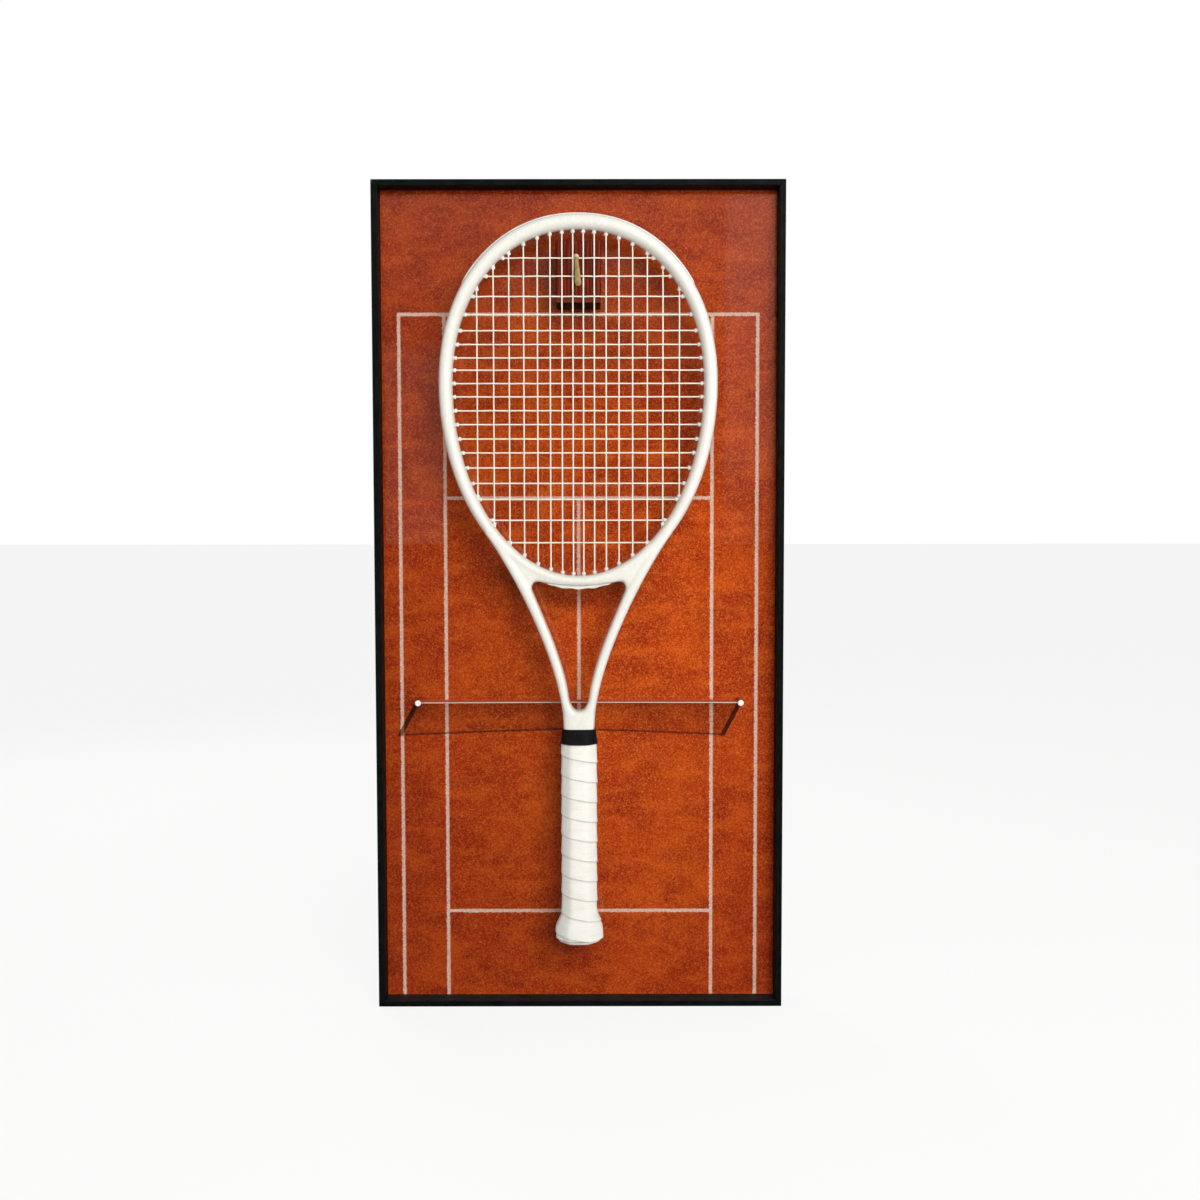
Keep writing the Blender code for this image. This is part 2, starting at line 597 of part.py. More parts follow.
def build_hook(pivot, block, block_holes):
    """Union of a level shank, an elbow ball, a tapering arm and its end ball."""
    arm = Vector((-math.sin(HOOK_LEAN) * math.sin(HOOK_SLOPE), -math.cos(HOOK_SLOPE),
                  math.cos(HOOK_LEAN) * math.sin(HOOK_SLOPE)))
    shank_run = HOOK_SHANK_LENGTH + HOOK_ELBOW_STANDOFF
    builder = bmesh.new()
    bmesh.ops.create_uvsphere(builder, u_segments=14, v_segments=8, radius=HOOK_RADIUS)
    hook = add_object("hook_peg", mesh_from(builder, "hook_peg"), BRASS)
    hook.parent = pivot
    to_shank = Matrix.Rotation(math.radians(90), 4, "X")
    to_arm = arm.to_track_quat("Z", "Y").to_matrix().to_4x4()
    pieces = [
        ("hook_shank", HOOK_SHANK_RADIUS, HOOK_SHANK_RADIUS, shank_run,
         Matrix.Translation((0, shank_run / 2, 0)) @ to_shank),
        ("hook_arm", HOOK_RADIUS, HOOK_NECK_RADIUS, HOOK_ARM_LENGTH,
         Matrix.Translation(arm * (HOOK_ARM_LENGTH / 2)) @ to_arm),
    ]
    for name, start_radius, end_radius, length, matrix in pieces:
        builder = bmesh.new()
        bmesh.ops.create_cone(builder, cap_ends=True, segments=14, radius1=start_radius,
                              radius2=end_radius, depth=length, matrix=matrix)
        join(hook, name, mesh_from(builder, name), pivot)
    builder = bmesh.new()
    bmesh.ops.create_uvsphere(builder, u_segments=14, v_segments=8, radius=HOOK_BALL_RADIUS,
                              matrix=Matrix.Translation(arm * HOOK_ARM_LENGTH) @ to_arm)
    join(hook, "hook_ball", mesh_from(builder, "hook_ball"), pivot)
    seat = [("hook_seat", HOOK_RADIUS + GAP, HOOK_SEAT_DEPTH),
            ("hook_bore", HOOK_SHANK_RADIUS + GAP, HOOK_SHANK_LENGTH + GAP)]
    for name, radius, depth in seat:
        builder = bmesh.new()
        bmesh.ops.create_cone(builder, cap_ends=True, segments=16, radius1=radius, radius2=radius,
                              depth=2 * depth, matrix=to_shank)
        block_holes.append(as_cutter(add_object(name, mesh_from(builder, name), None,
                                                place(0, BLOCK_FACE, HOOK_HEIGHT), CUTTERS)))
    cut_holes(block, block_holes)


def join(thing, name, mesh, parent=None):
    """Fuse another closed mesh into a piece."""
    other = as_cutter(add_object(name, mesh, None, group=CUTTERS))
    other.parent = parent
    union = thing.modifiers.new(name, "BOOLEAN")
    union.solver = "EXACT"
    union.operation = "UNION"
    union.object = other


# Net posts, net and its top band

def build_net(panel_cutters, board_cutters):
    post_rear = ACRYLIC_FACE - POST_TENON
    post_top = ACRYLIC_FACE + POST_HEIGHT - post_rear
    cap_foot = post_top - POST_CAP_HEIGHT
    profile = [(0, post_top), (POST_CAP_RADIUS * 0.7, post_top), (POST_CAP_RADIUS, cap_foot + POST_CAP_HEIGHT / 2),
               (POST_CAP_RADIUS, cap_foot), (POST_RADIUS, cap_foot), (POST_RADIUS, 0), (0, 0)]
    hole_profile = [(0, 2 * POST_TENON), (POST_RADIUS + GAP, 2 * POST_TENON),
                    (POST_RADIUS + GAP, -GAP), (0, -GAP)]
    for side_name, side in [("left", -1), ("right", 1)]:
        position = place(side * POST_REACH, post_rear, -NET_BELOW_CENTRE)
        post = turned_object("net_post_" + side_name, profile, POST_WHITE, 16)
        point_forward(post, position)
        hole = as_cutter(turned_object("post_hole_" + side_name, hole_profile, None, 16, CUTTERS))
        point_forward(hole, position)
        panel_cutters.append(hole)
        board_cutters.append(hole)
    build_net_band()
    build_net_mesh()


def net_top(x):
    """Height of the band's middle above the acrylic: it hangs in a shallow V."""
    share = abs(x) / POST_REACH
    return NET_HEIGHT_AT_MIDDLE + (NET_HEIGHT_AT_POSTS - NET_HEIGHT_AT_MIDDLE) * share


def build_net_band():
    curve = bpy.data.curves.new("net_band", "CURVE")
    curve.dimensions = "3D"
    curve.bevel_depth = NET_BAND_RADIUS
    curve.bevel_resolution = 2
    curve.use_fill_caps = True
    end = POST_REACH - POST_RADIUS - GAP
    spline = curve.splines.new("POLY")
    spline.points.add(4)
    for point, share in zip(spline.points, (-1, -0.5, 0, 0.5, 1)):
        point.co = (share * end, -net_top(share * end), 0, 1)
    add_object("net_band", curve_mesh("net_band", curve), NET_CORD, place(0, ACRYLIC_FACE, -NET_BELOW_CENTRE))


def build_net_mesh():
    """A lattice of strands from the acrylic to the band, thin along Z."""
    builder = bmesh.new()
    bmesh.ops.create_grid(builder, x_segments=NET_COLUMNS, y_segments=NET_ROWS, size=0.5)
    half_width = POST_REACH - POST_RADIUS - GAP - NET_STRAND / 2
    foot = GAP + NET_STRAND / 2
    for knot in builder.verts:
        x = 2 * knot.co.x * half_width
        top = net_top(x) - NET_BAND_RADIUS - GAP - NET_STRAND / 2
        knot.co = (x, -(foot + (0.5 - knot.co.y) * (top - foot)), 0)
    mesh = mesh_from(builder, "net_mesh")
    net = add_object("net_mesh", mesh, NET_BROWN, place(0, ACRYLIC_FACE, -NET_BELOW_CENTRE))
    strands = net.modifiers.new("strands", "WIREFRAME")
    strands.thickness = NET_STRAND
    strands.use_even_offset = True
    strands.use_boundary = True
    strands.use_replace = True


# Outlines of the racket, in its own measure

def egg(angle, half_width, rise, drop):
    """Point of the head's outline: a superellipse above the widest line and another below it."""
    roundness = HEAD_ROUNDNESS_ABOVE if math.sin(angle) >= 0 else HEAD_ROUNDNESS_BELOW
    reach = rise if math.sin(angle) >= 0 else drop
    x = half_width * math.copysign(abs(math.cos(angle)) ** (2 / roundness), math.cos(angle))
    z = reach * math.copysign(abs(math.sin(angle)) ** (2 / roundness), math.sin(angle))
    return x, z


INNER_HALF_WIDTH = HEAD_HALF_WIDTH - HOOP_SIDE_WIDTH
INNER_RISE = HEAD_RISE - HOOP_TOP_WIDTH
INNER_DROP = HEAD_DROP - BRIDGE_WIDTH


def head_half_width(height):
    """Half width of the head's opening at a height."""
    rise = INNER_RISE if height >= 0 else INNER_DROP
    roundness = HEAD_ROUNDNESS_ABOVE if height >= 0 else HEAD_ROUNDNESS_BELOW
    return INNER_HALF_WIDTH * (1 - min(1, abs(height) / rise) ** roundness) ** (1 / roundness)


def head_reach(x, rise, roundness):
    """How far the head's opening reaches above or below its widest line at a distance from its middle."""
    return rise * (1 - min(1, abs(x) / INNER_HALF_WIDTH) ** roundness) ** (1 / roundness)


def bezier(start, start_pull, end, end_pull, count):
    """Points of a cubic curve between two points, each with the pull of its handle."""
    first = Vector((*start, 0))
    last = Vector((*end, 0))
    handle_a = first + Vector((*start_pull, 0))
    handle_b = last + Vector((*end_pull, 0))
    return [(point.x, point.y) for point in interpolate_bezier(first, handle_a, handle_b, last, count)]


def mirrored(half):
    """Close a right half, listed from top to bottom, with its mirror image."""
    back = [(-x, z) for x, z in reversed(half) if x > 0.01 * MM]
    return half + back


def silhouette():
    """Right half of the racket's outer outline, from the crown to the end of the core."""
    leave = math.asin(ARM_LEAVES_HEAD)
    head = []
    for step in range(HEAD_SEGMENTS + 1):
        angle = math.pi / 2 - step * (math.pi / 2 + leave) / HEAD_SEGMENTS
        head.append(egg(angle, HEAD_HALF_WIDTH, HEAD_RISE, HEAD_DROP))
    head[0] = (0, HEAD_RISE)
    start = head[-1]
    slope = Vector((-HEAD_HALF_WIDTH * math.sin(leave), -HEAD_DROP * math.cos(leave))).normalized()
    end = (SHAFT_HALF_WIDTH, COLLAR_TOP)
    chord = math.dist(start, end)
    arm = bezier(start, slope * chord * ARM_OUTER_EASE_TOP, end,
                 (0, chord * ARM_OUTER_EASE_BOTTOM), ARM_SEGMENTS + 1)
    shaft = [(CORE_HALF_WIDTH, GRIP_TOP + COLLAR_LENGTH / 5), (CORE_HALF_WIDTH, CORE_END)]
    return mirrored(head + arm[1:] + shaft)


def head_opening():
    points = []
    steps = 2 * HEAD_SEGMENTS
    for step in range(steps):
        angle = math.pi / 2 - 2 * math.pi * step / steps
        points.append(egg(angle, INNER_HALF_WIDTH, INNER_RISE, INNER_DROP))
    return points


def bridge_edge():
    """Lower edge of the bridge, from its middle to the top of the throat's corner."""
    return bezier((0, -HEAD_DROP), (THROAT_CORNER_OFFSET * 0.5, 0),
                  (THROAT_CORNER_OFFSET, THROAT_CORNER_TOP), (-THROAT_CORNER_OFFSET * 0.2, 0), 7)


def throat_opening():
    """The rounded triangle between the bridge and the two arms."""
    corner = (THROAT_CORNER_OFFSET, THROAT_CORNER_TOP - THROAT_CORNER_RADIUS)
    bridge = bridge_edge()
    turn = [(corner[0] + THROAT_CORNER_RADIUS * math.cos(angle), corner[1] + THROAT_CORNER_RADIUS * math.sin(angle))
            for angle in (math.radians(60), math.radians(30), 0)]
    turn_end = math.radians(-22)
    arm_start = (corner[0] + THROAT_CORNER_RADIUS * math.cos(turn_end),
                 corner[1] + THROAT_CORNER_RADIUS * math.sin(turn_end))
    arm_end = (THROAT_BOTTOM_RADIUS, THROAT_BOTTOM + THROAT_BOTTOM_RADIUS)
    chord = math.dist(arm_start, arm_end)
    down = Vector((math.sin(turn_end), -math.cos(turn_end)))
    arm = bezier(arm_start, down * chord * 0.24, arm_end, (chord * 0.03, chord * 0.32), ARM_SEGMENTS)
    end = [(THROAT_BOTTOM_RADIUS * math.cos(angle), arm_end[1] - THROAT_BOTTOM_RADIUS * math.sin(angle))
           for angle in (math.radians(30), math.radians(60), math.radians(90))]
    return mirrored(bridge + turn + arm + end)


def crown_band(inner_offset, outer_offset, spread):
    """A strip round the crown between two distances inside and outside the head's outline."""
    inner = []
    outer = []
    for step in range(BUMPER_STEPS + 1):
        angle = math.pi / 2 + spread - 2 * spread * step / BUMPER_STEPS
        for points, offset in ((inner, inner_offset), (outer, outer_offset)):
            points.append(egg(angle, HEAD_HALF_WIDTH + offset, HEAD_RISE + offset, HEAD_DROP + offset))
    return inner + outer[::-1]


def hang(thing, pivot):
    """Hang a racket piece, made in the racket's own measure, from the hook's axis."""
    thing.parent = pivot
    thing.location = RACKET_ORIGIN - pivot.location
    return thing


def build_racket_frame(pivot):
    mesh = outline_mesh("racket_frame", [silhouette(), head_opening(), throat_opening()],
                        RACKET_THICKNESS, RACKET_ROUNDING, 1)
    racket = hang(add_object("racket_frame", mesh, RACKET_WHITE), pivot)
    groove_depth = BUMPER_THICKNESS - BUMPER_PROUD + GAP
    groove_spread = BUMPER_SPREAD + 2 * GAP / HEAD_RISE
    groove_mesh = outline_mesh("bumper_groove", [crown_band(-groove_depth, CUT_PAST, groove_spread)],
                               BUMPER_WIDTH + 2 * GAP)
    groove = hang(as_cutter(add_object("bumper_groove", groove_mesh, None, group=CUTTERS)), pivot)
    cut_holes(racket, [groove])
    guard_outline = crown_band(BUMPER_PROUD - BUMPER_THICKNESS, BUMPER_PROUD, BUMPER_SPREAD)
    guard_mesh = outline_mesh("bumper_guard", [guard_outline], BUMPER_WIDTH)
    hang(add_object("bumper_guard", guard_mesh, GUARD_WHITE), pivot)


def height_along(points, x):
    """Height of a chain of points, listed from the middle outwards, at a distance from the middle."""
    for near, far in zip(points, points[1:]):
        if x <= far[0]:
            share = (x - near[0]) / (far[0] - near[0])
            return near[1] + (far[1] - near[1]) * share
    return points[-1][1]


def build_grommet_strip(pivot):
    """A strip under the bridge, thin at its ends, whose lower edge swells where each string passes."""
    edge = bridge_edge()
    half = GROMMET_STRIP_HALF_WIDTH
    corners = [x for x, z in edge if x < half]
    swells = [half * step / 8 for step in range(9)]
    upper = [(x, height_along(edge, x) - GAP) for x in corners] + [(half, height_along(edge, half) - GAP)]
    lower = []
    for step, x in enumerate(swells):
        taper = GROMMET_STRIP_TIP + (GROMMET_STRIP_THICKNESS - GROMMET_STRIP_TIP) * (1 - (x / half) ** 2)
        swell = GROMMET_STRIP_WAVE * math.cos(step * math.pi / 2)
        lower.append((x, height_along(edge, x) - GAP - taper - swell))
    outline = upper + lower[::-1]
    outline += [(-x, z) for x, z in lower[1:]]
    outline += [(-x, z) for x, z in upper[:0:-1]]
    mesh = outline_mesh("throat_grommet_strip", [outline], GROMMET_STRIP_DEPTH)
    hang(add_object("throat_grommet_strip", mesh, GUARD_WHITE), pivot)


# Strings: one bed of three-sided strands. The mains turn their ridges to the wall, the crosses
# turn theirs to the front, and the ridges press into each other where they cross.

def main_positions():
    places = []
    x = MAIN_FIRST
    for number in range(MAIN_PAIRS):
        places += [x, -x]
        x += MAIN_SPACING + number * MAIN_SPACING_GROWTH
    return places


def cross_heights():
    height = HEAD_RISE - CROSS_FIRST_BELOW_TOP
    places = [height]
    for spacing in CROSS_SPACINGS:
        height -= spacing * MM
        places.append(height)
    return places


def add_main(builder, x, bottom, top):
    """A strand along Z whose flat side faces the front."""
    matrix = Matrix.Translation((x, -STRING_OFFSET, (top + bottom) / 2))
    bmesh.ops.create_cone(builder, cap_ends=True, segments=3, radius1=STRING_RADIUS,
                          radius2=STRING_RADIUS, depth=top - bottom, matrix=matrix)


def add_cross(builder, height, reach):
    """A strand along X whose flat side faces the wall."""
    lie_down = Matrix.Rotation(math.pi / 2, 4, "Y")
    turn_over = Matrix.Rotation(math.pi, 4, "X")
    matrix = Matrix.Translation((0, STRING_OFFSET, height)) @ turn_over @ lie_down
    bmesh.ops.create_cone(builder, cap_ends=True, segments=3, radius1=STRING_RADIUS,
                          radius2=STRING_RADIUS, depth=2 * reach, matrix=matrix)


def build_strings(pivot):
    half = STRING_RADIUS
    mains = bmesh.new()
    for x in main_positions():
        edge = abs(x) + half
        top = head_reach(edge, INNER_RISE, HEAD_ROUNDNESS_ABOVE) - STRING_END_CLEARANCE
        bottom = -head_reach(edge, INNER_DROP, HEAD_ROUNDNESS_BELOW) + STRING_END_CLEARANCE
        add_main(mains, x, bottom, top)
    bed = hang(add_object("string_bed", mesh_from(mains, "string_bed"), STRING_WHITE), pivot)
    crosses = bmesh.new()
    for height in cross_heights():
        reach = min(head_half_width(height + half), head_half_width(height - half)) - STRING_END_CLEARANCE
        add_cross(crosses, height, reach)
    join(bed, "cross_strings", mesh_from(crosses, "cross_strings"), pivot)
    bpy.data.objects["cross_strings"].location = bed.location


# Handle

def octagon(half_width, half_depth, chamfer=None):
    """Corners of an eight-sided section: a box with these chamfers, or else with even sides."""
    even = math.tan(math.pi / 8)
    flat_x = half_width - chamfer if chamfer else half_width * even
    flat_y = half_depth - chamfer if chamfer else half_depth * even
    quarter = [(half_width, flat_y), (flat_x, half_depth)]
    half = quarter + [(-x, y) for x, y in quarter[::-1]]
    return half + [(-x, -y) for x, y in half]


def sleeve_mesh(name, stations, bore=None):
    """Loft sections, each a height with an octagon's measures, from the top down round an open bore."""
    builder = bmesh.new()

    def rings(levels):
        return [[builder.verts.new((*corner, height)) for corner in octagon(*measures)]
                for height, *measures in levels]

    def skin(upper, lower):
        for side in range(len(upper)):
            beside = (side + 1) % len(upper)
            builder.faces.new((upper[side], upper[beside], lower[beside], lower[side]))

    outer = rings(stations)
    for upper, lower in zip(outer, outer[1:]):
        skin(upper, lower)
    if bore is None:
        builder.faces.new(outer[0])
        builder.faces.new(outer[-1])
    else:
        inner = rings(bore)
        for upper, lower in zip(inner, inner[1:]):
            skin(upper, lower)
        skin(outer[0], inner[0])
        skin(outer[-1], inner[-1])
    bmesh.ops.recalc_face_normals(builder, faces=builder.faces)
    return mesh_from(builder, name)


def core_cutter(name, top, bottom, pivot):
    """Room for the frame's core, rounded as the core is."""
    half = CORE_HALF_WIDTH + GAP
    outline = [(-half, top), (half, top), (half, bottom), (-half, bottom)]
    mesh = outline_mesh(name, [outline], RACKET_THICKNESS + 2 * GAP, RACKET_ROUNDING + GAP, 1)
    return hang(as_cutter(add_object(name, mesh, None, group=CUTTERS)), pivot)


def grip_half_width(height):
    """Half width under the tape: straight along the pallet, then flaring to the butt."""
    flare_top = BUTT_CAP_TOP
    flare_bottom = BUTT_END + BUTT_FLARE_HEIGHT
    share = min(1, max(0, (flare_top - height) / (flare_top - flare_bottom)))
    ease = share * share * (3 - 2 * share)
    return PALLET_HALF_WIDTH + (BUTT_FLARE_HALF_WIDTH - PALLET_HALF_WIDTH) * ease


def grip_half_depth(height):
    return grip_half_width(height) * PALLET_HALF_DEPTH / PALLET_HALF_WIDTH


def butt_cap_stations(spare):
    """Octagons of the butt cap from the top down, grown by a spare all round."""
    levels = [BUTT_CAP_TOP - share * (BUTT_CAP_LENGTH - BUTT_FLARE_HEIGHT) for share in (0, 0.25, 0.5, 0.75, 1)]
    stations = [(level, grip_half_width(level) + spare, grip_half_depth(level) + spare) for level in levels]
    rim = BUTT_END + BUTT_END_ROUNDING
    stations.append((rim, BUTT_FLARE_HALF_WIDTH + spare, grip_half_depth(rim) + spare))
    shrink = 1 - BUTT_END_ROUNDING / BUTT_FLARE_HALF_WIDTH / 2
    stations.append((BUTT_END, BUTT_FLARE_HALF_WIDTH * shrink + spare, grip_half_depth(rim) * shrink + spare))
    return stations


def build_handle(pivot):
    pallet_bottom = BUTT_CAP_TOP + GAP
    pallet_mesh = sleeve_mesh("handle_pallet", [(GRIP_TOP, PALLET_HALF_WIDTH, PALLET_HALF_DEPTH),
                                                (pallet_bottom, PALLET_HALF_WIDTH, PALLET_HALF_DEPTH)])
    pallet = hang(add_object("handle_pallet", pallet_mesh, PALLET_GREY), pivot)
    cut_holes(pallet, [core_cutter("pallet_bore", GRIP_TOP + CUT_PAST, pallet_bottom - CUT_PAST, pivot)])

    cap = hang(add_object("butt_cap", sleeve_mesh("butt_cap", butt_cap_stations(0)), GUARD_WHITE), pivot)
    cut_holes(cap, [core_cutter("cap_socket", BUTT_CAP_TOP + CUT_PAST, CORE_END - GAP, pivot)])

    build_collar(pivot)
    build_wound_grip(pivot)


def build_collar(pivot):
    """A rubber sleeve, boxed like the shaft at its top and octagonal like the grip below."""
    chamfer = RACKET_ROUNDING * (2 - math.sqrt(2))
    room_x = SHAFT_HALF_WIDTH + COLLAR_CLEARANCE
    room_y = RACKET_THICKNESS / 2 + COLLAR_CLEARANCE
    grip_x = PALLET_HALF_WIDTH + GAP + TAPE_THICKNESS + COLLAR_PROUD
    grip_y = PALLET_HALF_DEPTH + GAP + TAPE_THICKNESS + COLLAR_PROUD
    foot = GRIP_TOP + GAP
    inner = [(COLLAR_TOP, room_x, room_y, chamfer),
             (foot, (room_x + CORE_HALF_WIDTH) / 2, room_y, chamfer)]
    outer = [(COLLAR_TOP, room_x + COLLAR_LIP, room_y + COLLAR_LIP, chamfer),
             (GRIP_TOP + COLLAR_LENGTH / 3, grip_x, grip_y),
             (foot, grip_x, grip_y)]
    hang(add_object("grip_collar", sleeve_mesh("grip_collar", outer, inner), COLLAR_BLACK), pivot)


def build_wound_grip(pivot):
    """One band wound down the handle as a helix. Each turn's lower edge stands proud of the next turn.

    The band starts and ends past the grip, and a box trims it level at both ends. The butt cap,
    grown by the clearance, cuts the room that the flare needs under the band.
    """
    bottom = BUTT_END + TAPE_ABOVE_BUTT
    turns = (GRIP_TOP - bottom) / TAPE_PITCH + 2
    band = TAPE_PITCH - TAPE_SEAM
    stand = GAP + TAPE_THICKNESS
    section = [(0, GAP), (0, stand), (-band / 2, stand + TAPE_LAP / 2), (-band, stand + TAPE_LAP),
               (-band, GAP), (-band / 2, GAP)]
    sides = len(octagon(PALLET_HALF_WIDTH, PALLET_HALF_DEPTH))
    builder = bmesh.new()
    rings = []
    for step in range(math.ceil(turns * sides) + 1):
        ring = []
        for drop, out in section:
            height = GRIP_TOP + TAPE_PITCH * (1 - step / sides) + drop
            corners = octagon(grip_half_width(height) + out, grip_half_depth(height) + out)
            ring.append(builder.verts.new((*corners[step % sides], height)))
        rings.append(ring)
    for ring, following in zip(rings, rings[1:]):
        for side in range(len(section)):
            beside = (side + 1) % len(section)
            builder.faces.new((ring[side], ring[beside], following[beside], following[side]))
    builder.faces.new(rings[0])
    builder.faces.new(rings[-1])
    seams = [(above[edge].co - below[0].co).length
             for above, below in zip(rings, rings[sides:]) for edge in (3, 4)]
    print("least gap between turns of the grip:", round(min(seams) / MM, 2), "mm")
    bmesh.ops.recalc_face_normals(builder, faces=builder.faces)
    grip = hang(add_object("overgrip", mesh_from(builder, "overgrip"), GRIP_WHITE), pivot)
    across = 4 * BUTT_FLARE_HALF_WIDTH
    trim_mesh = box_mesh("grip_trim", (across, across, GRIP_TOP - bottom), (0, 0, (GRIP_TOP + bottom) / 2))
    trim = hang(as_cutter(add_object("grip_trim", trim_mesh, None, group=CUTTERS)), pivot)
    level = grip.modifiers.new("level_ends", "BOOLEAN")
    level.solver = "EXACT"
    level.operation = "INTERSECT"
    level.object = trim
    room_mesh = sleeve_mesh("room_for_butt_cap", butt_cap_stations(GAP))
    cut_holes(grip, [hang(as_cutter(add_object("room_for_butt_cap", room_mesh, None, group=CUTTERS)), pivot)])


def build():
    rail_cutters = {"rail_top": [], "rail_right": [], "rail_bottom": [], "rail_left": []}
    rails = build_rails()
    build_brackets(rail_cutters)
    build_keyhole_plates(rail_cutters)
    board, sheet, acrylic, board_cutters = build_panel(rail_cutters)
    for name, rail in rails.items():
        cut_holes(rail, rail_cutters[name])

    panel_cutters = []
    block, block_holes = build_block(panel_cutters, board_cutters)
    build_net(panel_cutters, board_cutters)
    cut_holes(board, board_cutters)
    cut_holes(sheet, panel_cutters)
    cut_holes(acrylic, panel_cutters)

    pivot = bpy.data.objects.new("hook_axis", None)
    pivot.empty_display_size = 0.02
    pivot.location = HOOK_PIVOT
    PARTS.objects.link(pivot)
    build_hook(pivot, block, block_holes)
    build_racket_frame(pivot)
    build_grommet_strip(pivot)
    build_strings(pivot)
    build_handle(pivot)
    for piece in PARTS.objects:
        if piece.type == "MESH" and not piece.name.startswith(("rail", "backing", "court", "acrylic")):
            shade_round(piece)


build()
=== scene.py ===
import json
import math

import bmesh
import bpy
import numpy as np
from mathutils import Matrix, Vector


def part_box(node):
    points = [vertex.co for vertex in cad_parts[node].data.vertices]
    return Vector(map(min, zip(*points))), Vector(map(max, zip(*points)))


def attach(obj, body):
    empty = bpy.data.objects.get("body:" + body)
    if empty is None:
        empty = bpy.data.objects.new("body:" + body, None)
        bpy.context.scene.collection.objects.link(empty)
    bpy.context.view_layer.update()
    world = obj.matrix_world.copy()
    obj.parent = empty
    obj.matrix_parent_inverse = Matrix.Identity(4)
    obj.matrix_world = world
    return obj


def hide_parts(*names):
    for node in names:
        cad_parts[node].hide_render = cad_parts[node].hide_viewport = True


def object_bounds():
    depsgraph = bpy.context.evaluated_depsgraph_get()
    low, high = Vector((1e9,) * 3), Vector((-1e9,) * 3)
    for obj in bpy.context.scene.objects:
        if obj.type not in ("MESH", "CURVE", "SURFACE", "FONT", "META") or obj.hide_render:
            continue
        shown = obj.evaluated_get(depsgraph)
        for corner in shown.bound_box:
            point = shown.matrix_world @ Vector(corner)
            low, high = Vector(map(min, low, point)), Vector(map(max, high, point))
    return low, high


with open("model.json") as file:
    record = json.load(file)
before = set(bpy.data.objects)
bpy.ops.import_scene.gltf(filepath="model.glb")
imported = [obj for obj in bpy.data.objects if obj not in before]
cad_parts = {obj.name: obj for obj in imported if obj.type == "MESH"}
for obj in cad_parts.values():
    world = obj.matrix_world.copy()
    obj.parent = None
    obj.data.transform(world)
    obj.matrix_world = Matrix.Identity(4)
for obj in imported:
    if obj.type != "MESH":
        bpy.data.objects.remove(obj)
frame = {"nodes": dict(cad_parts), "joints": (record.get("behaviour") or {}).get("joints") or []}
cad_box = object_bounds()


# Tray rails: four slim L-shaped lengths of wood, mitred and glued at the corners.
# They are sprayed in satin black lacquer, a little greenish, whose gloss is slightly uneven.

def feed(tree, target, value):
    """Link an input where the value is a socket, and otherwise set it to the number or colour."""
    if isinstance(value, bpy.types.NodeSocket):
        tree.links.new(value, target)
    else:
        target.default_value = value


def node(tree, kind, inputs=None, **settings):
    """One shader node. A value in inputs is either a number or colour, or a socket to link from."""
    made = tree.nodes.new("ShaderNode" + kind)
    for key, value in settings.items():
        setattr(made, key, value)
    for key, value in (inputs or {}).items():
        feed(tree, made.inputs[key], value)
    return made


def arithmetic(tree):
    """A function that adds one step of arithmetic to a tree: its kind, then one or two values."""
    def work(kind, first, second=0.0, clamp=False):
        return node(tree, "Math", {0: first, 1: second}, operation=kind, use_clamp=clamp).outputs[0]

    return work


def remap(tree, value, low, high, first=0.0, last=1.0):
    """Carry a value's range, low to high, over to first to last, and hold it there beyond its ends."""
    return node(tree, "MapRange", {0: value, 1: low, 2: high, 3: first, 4: last}).outputs[0]


def noise(tree, place, scale, detail, rough=0.5, distortion=0.0):
    """The grey value of a noise with this many patches to the metre."""
    return node(tree, "TexNoise", {"Vector": place, "Scale": scale, "Detail": detail, "Roughness": rough,
                                   "Distortion": distortion}).outputs["Fac"]


def stretched(tree, place, scale, turn=(0, 0, 0), shift=(0, 0, 0)):
    """Coordinates scaled, turned and moved, so that a pattern on them is drawn out."""
    return node(tree, "Mapping", {"Vector": place, "Scale": scale, "Rotation": turn,
                                  "Location": shift}).outputs[0]


def blend_colours(tree, factor, first, second, mode="MIX"):
    """Mix two colours, which may be sockets or plain colours, by a factor."""
    made = node(tree, "Mix", data_type="RGBA", blend_type=mode)
    for index, value in ((0, factor), (6, first), (7, second)):
        feed(tree, made.inputs[index], (*value, 1) if isinstance(value, tuple) else value)
    return made.outputs[2]


def new_group(name, output, **inputs):
    """An empty shader group with a Vector, these other inputs at their first values, and one output."""
    group = bpy.data.node_groups.new(name, "ShaderNodeTree")
    group.interface.new_socket("Vector", in_out="INPUT", socket_type="NodeSocketVector")
    for label, value in inputs.items():
        socket = group.interface.new_socket(label, in_out="INPUT", socket_type="NodeSocketFloat")
        socket.default_value = value
    group.interface.new_socket(output, in_out="OUTPUT", socket_type="NodeSocketFloat")
    entry = group.nodes.new("NodeGroupInput")
    leave = group.nodes.new("NodeGroupOutput")
    return group, entry.outputs, leave.inputs[output]


def build_speckle():
    """The small uneven tone of any surface: a noise, and another six times as fine, weighed together."""
    group, given, result = new_group("speckle", "Value", Size=0.01)
    work = arithmetic(group)
    rate = work("DIVIDE", 1.0, given["Size"])
    broad = noise(group, given["Vector"], rate, 3.0)
    fine = noise(group, given["Vector"], work("MULTIPLY", rate, 6.0), 2.0)
    both = node(group, "Mix", {0: 0.4, 2: broad, 3: fine}, data_type="FLOAT")
    feed(group, result, both.outputs[0])
    return group


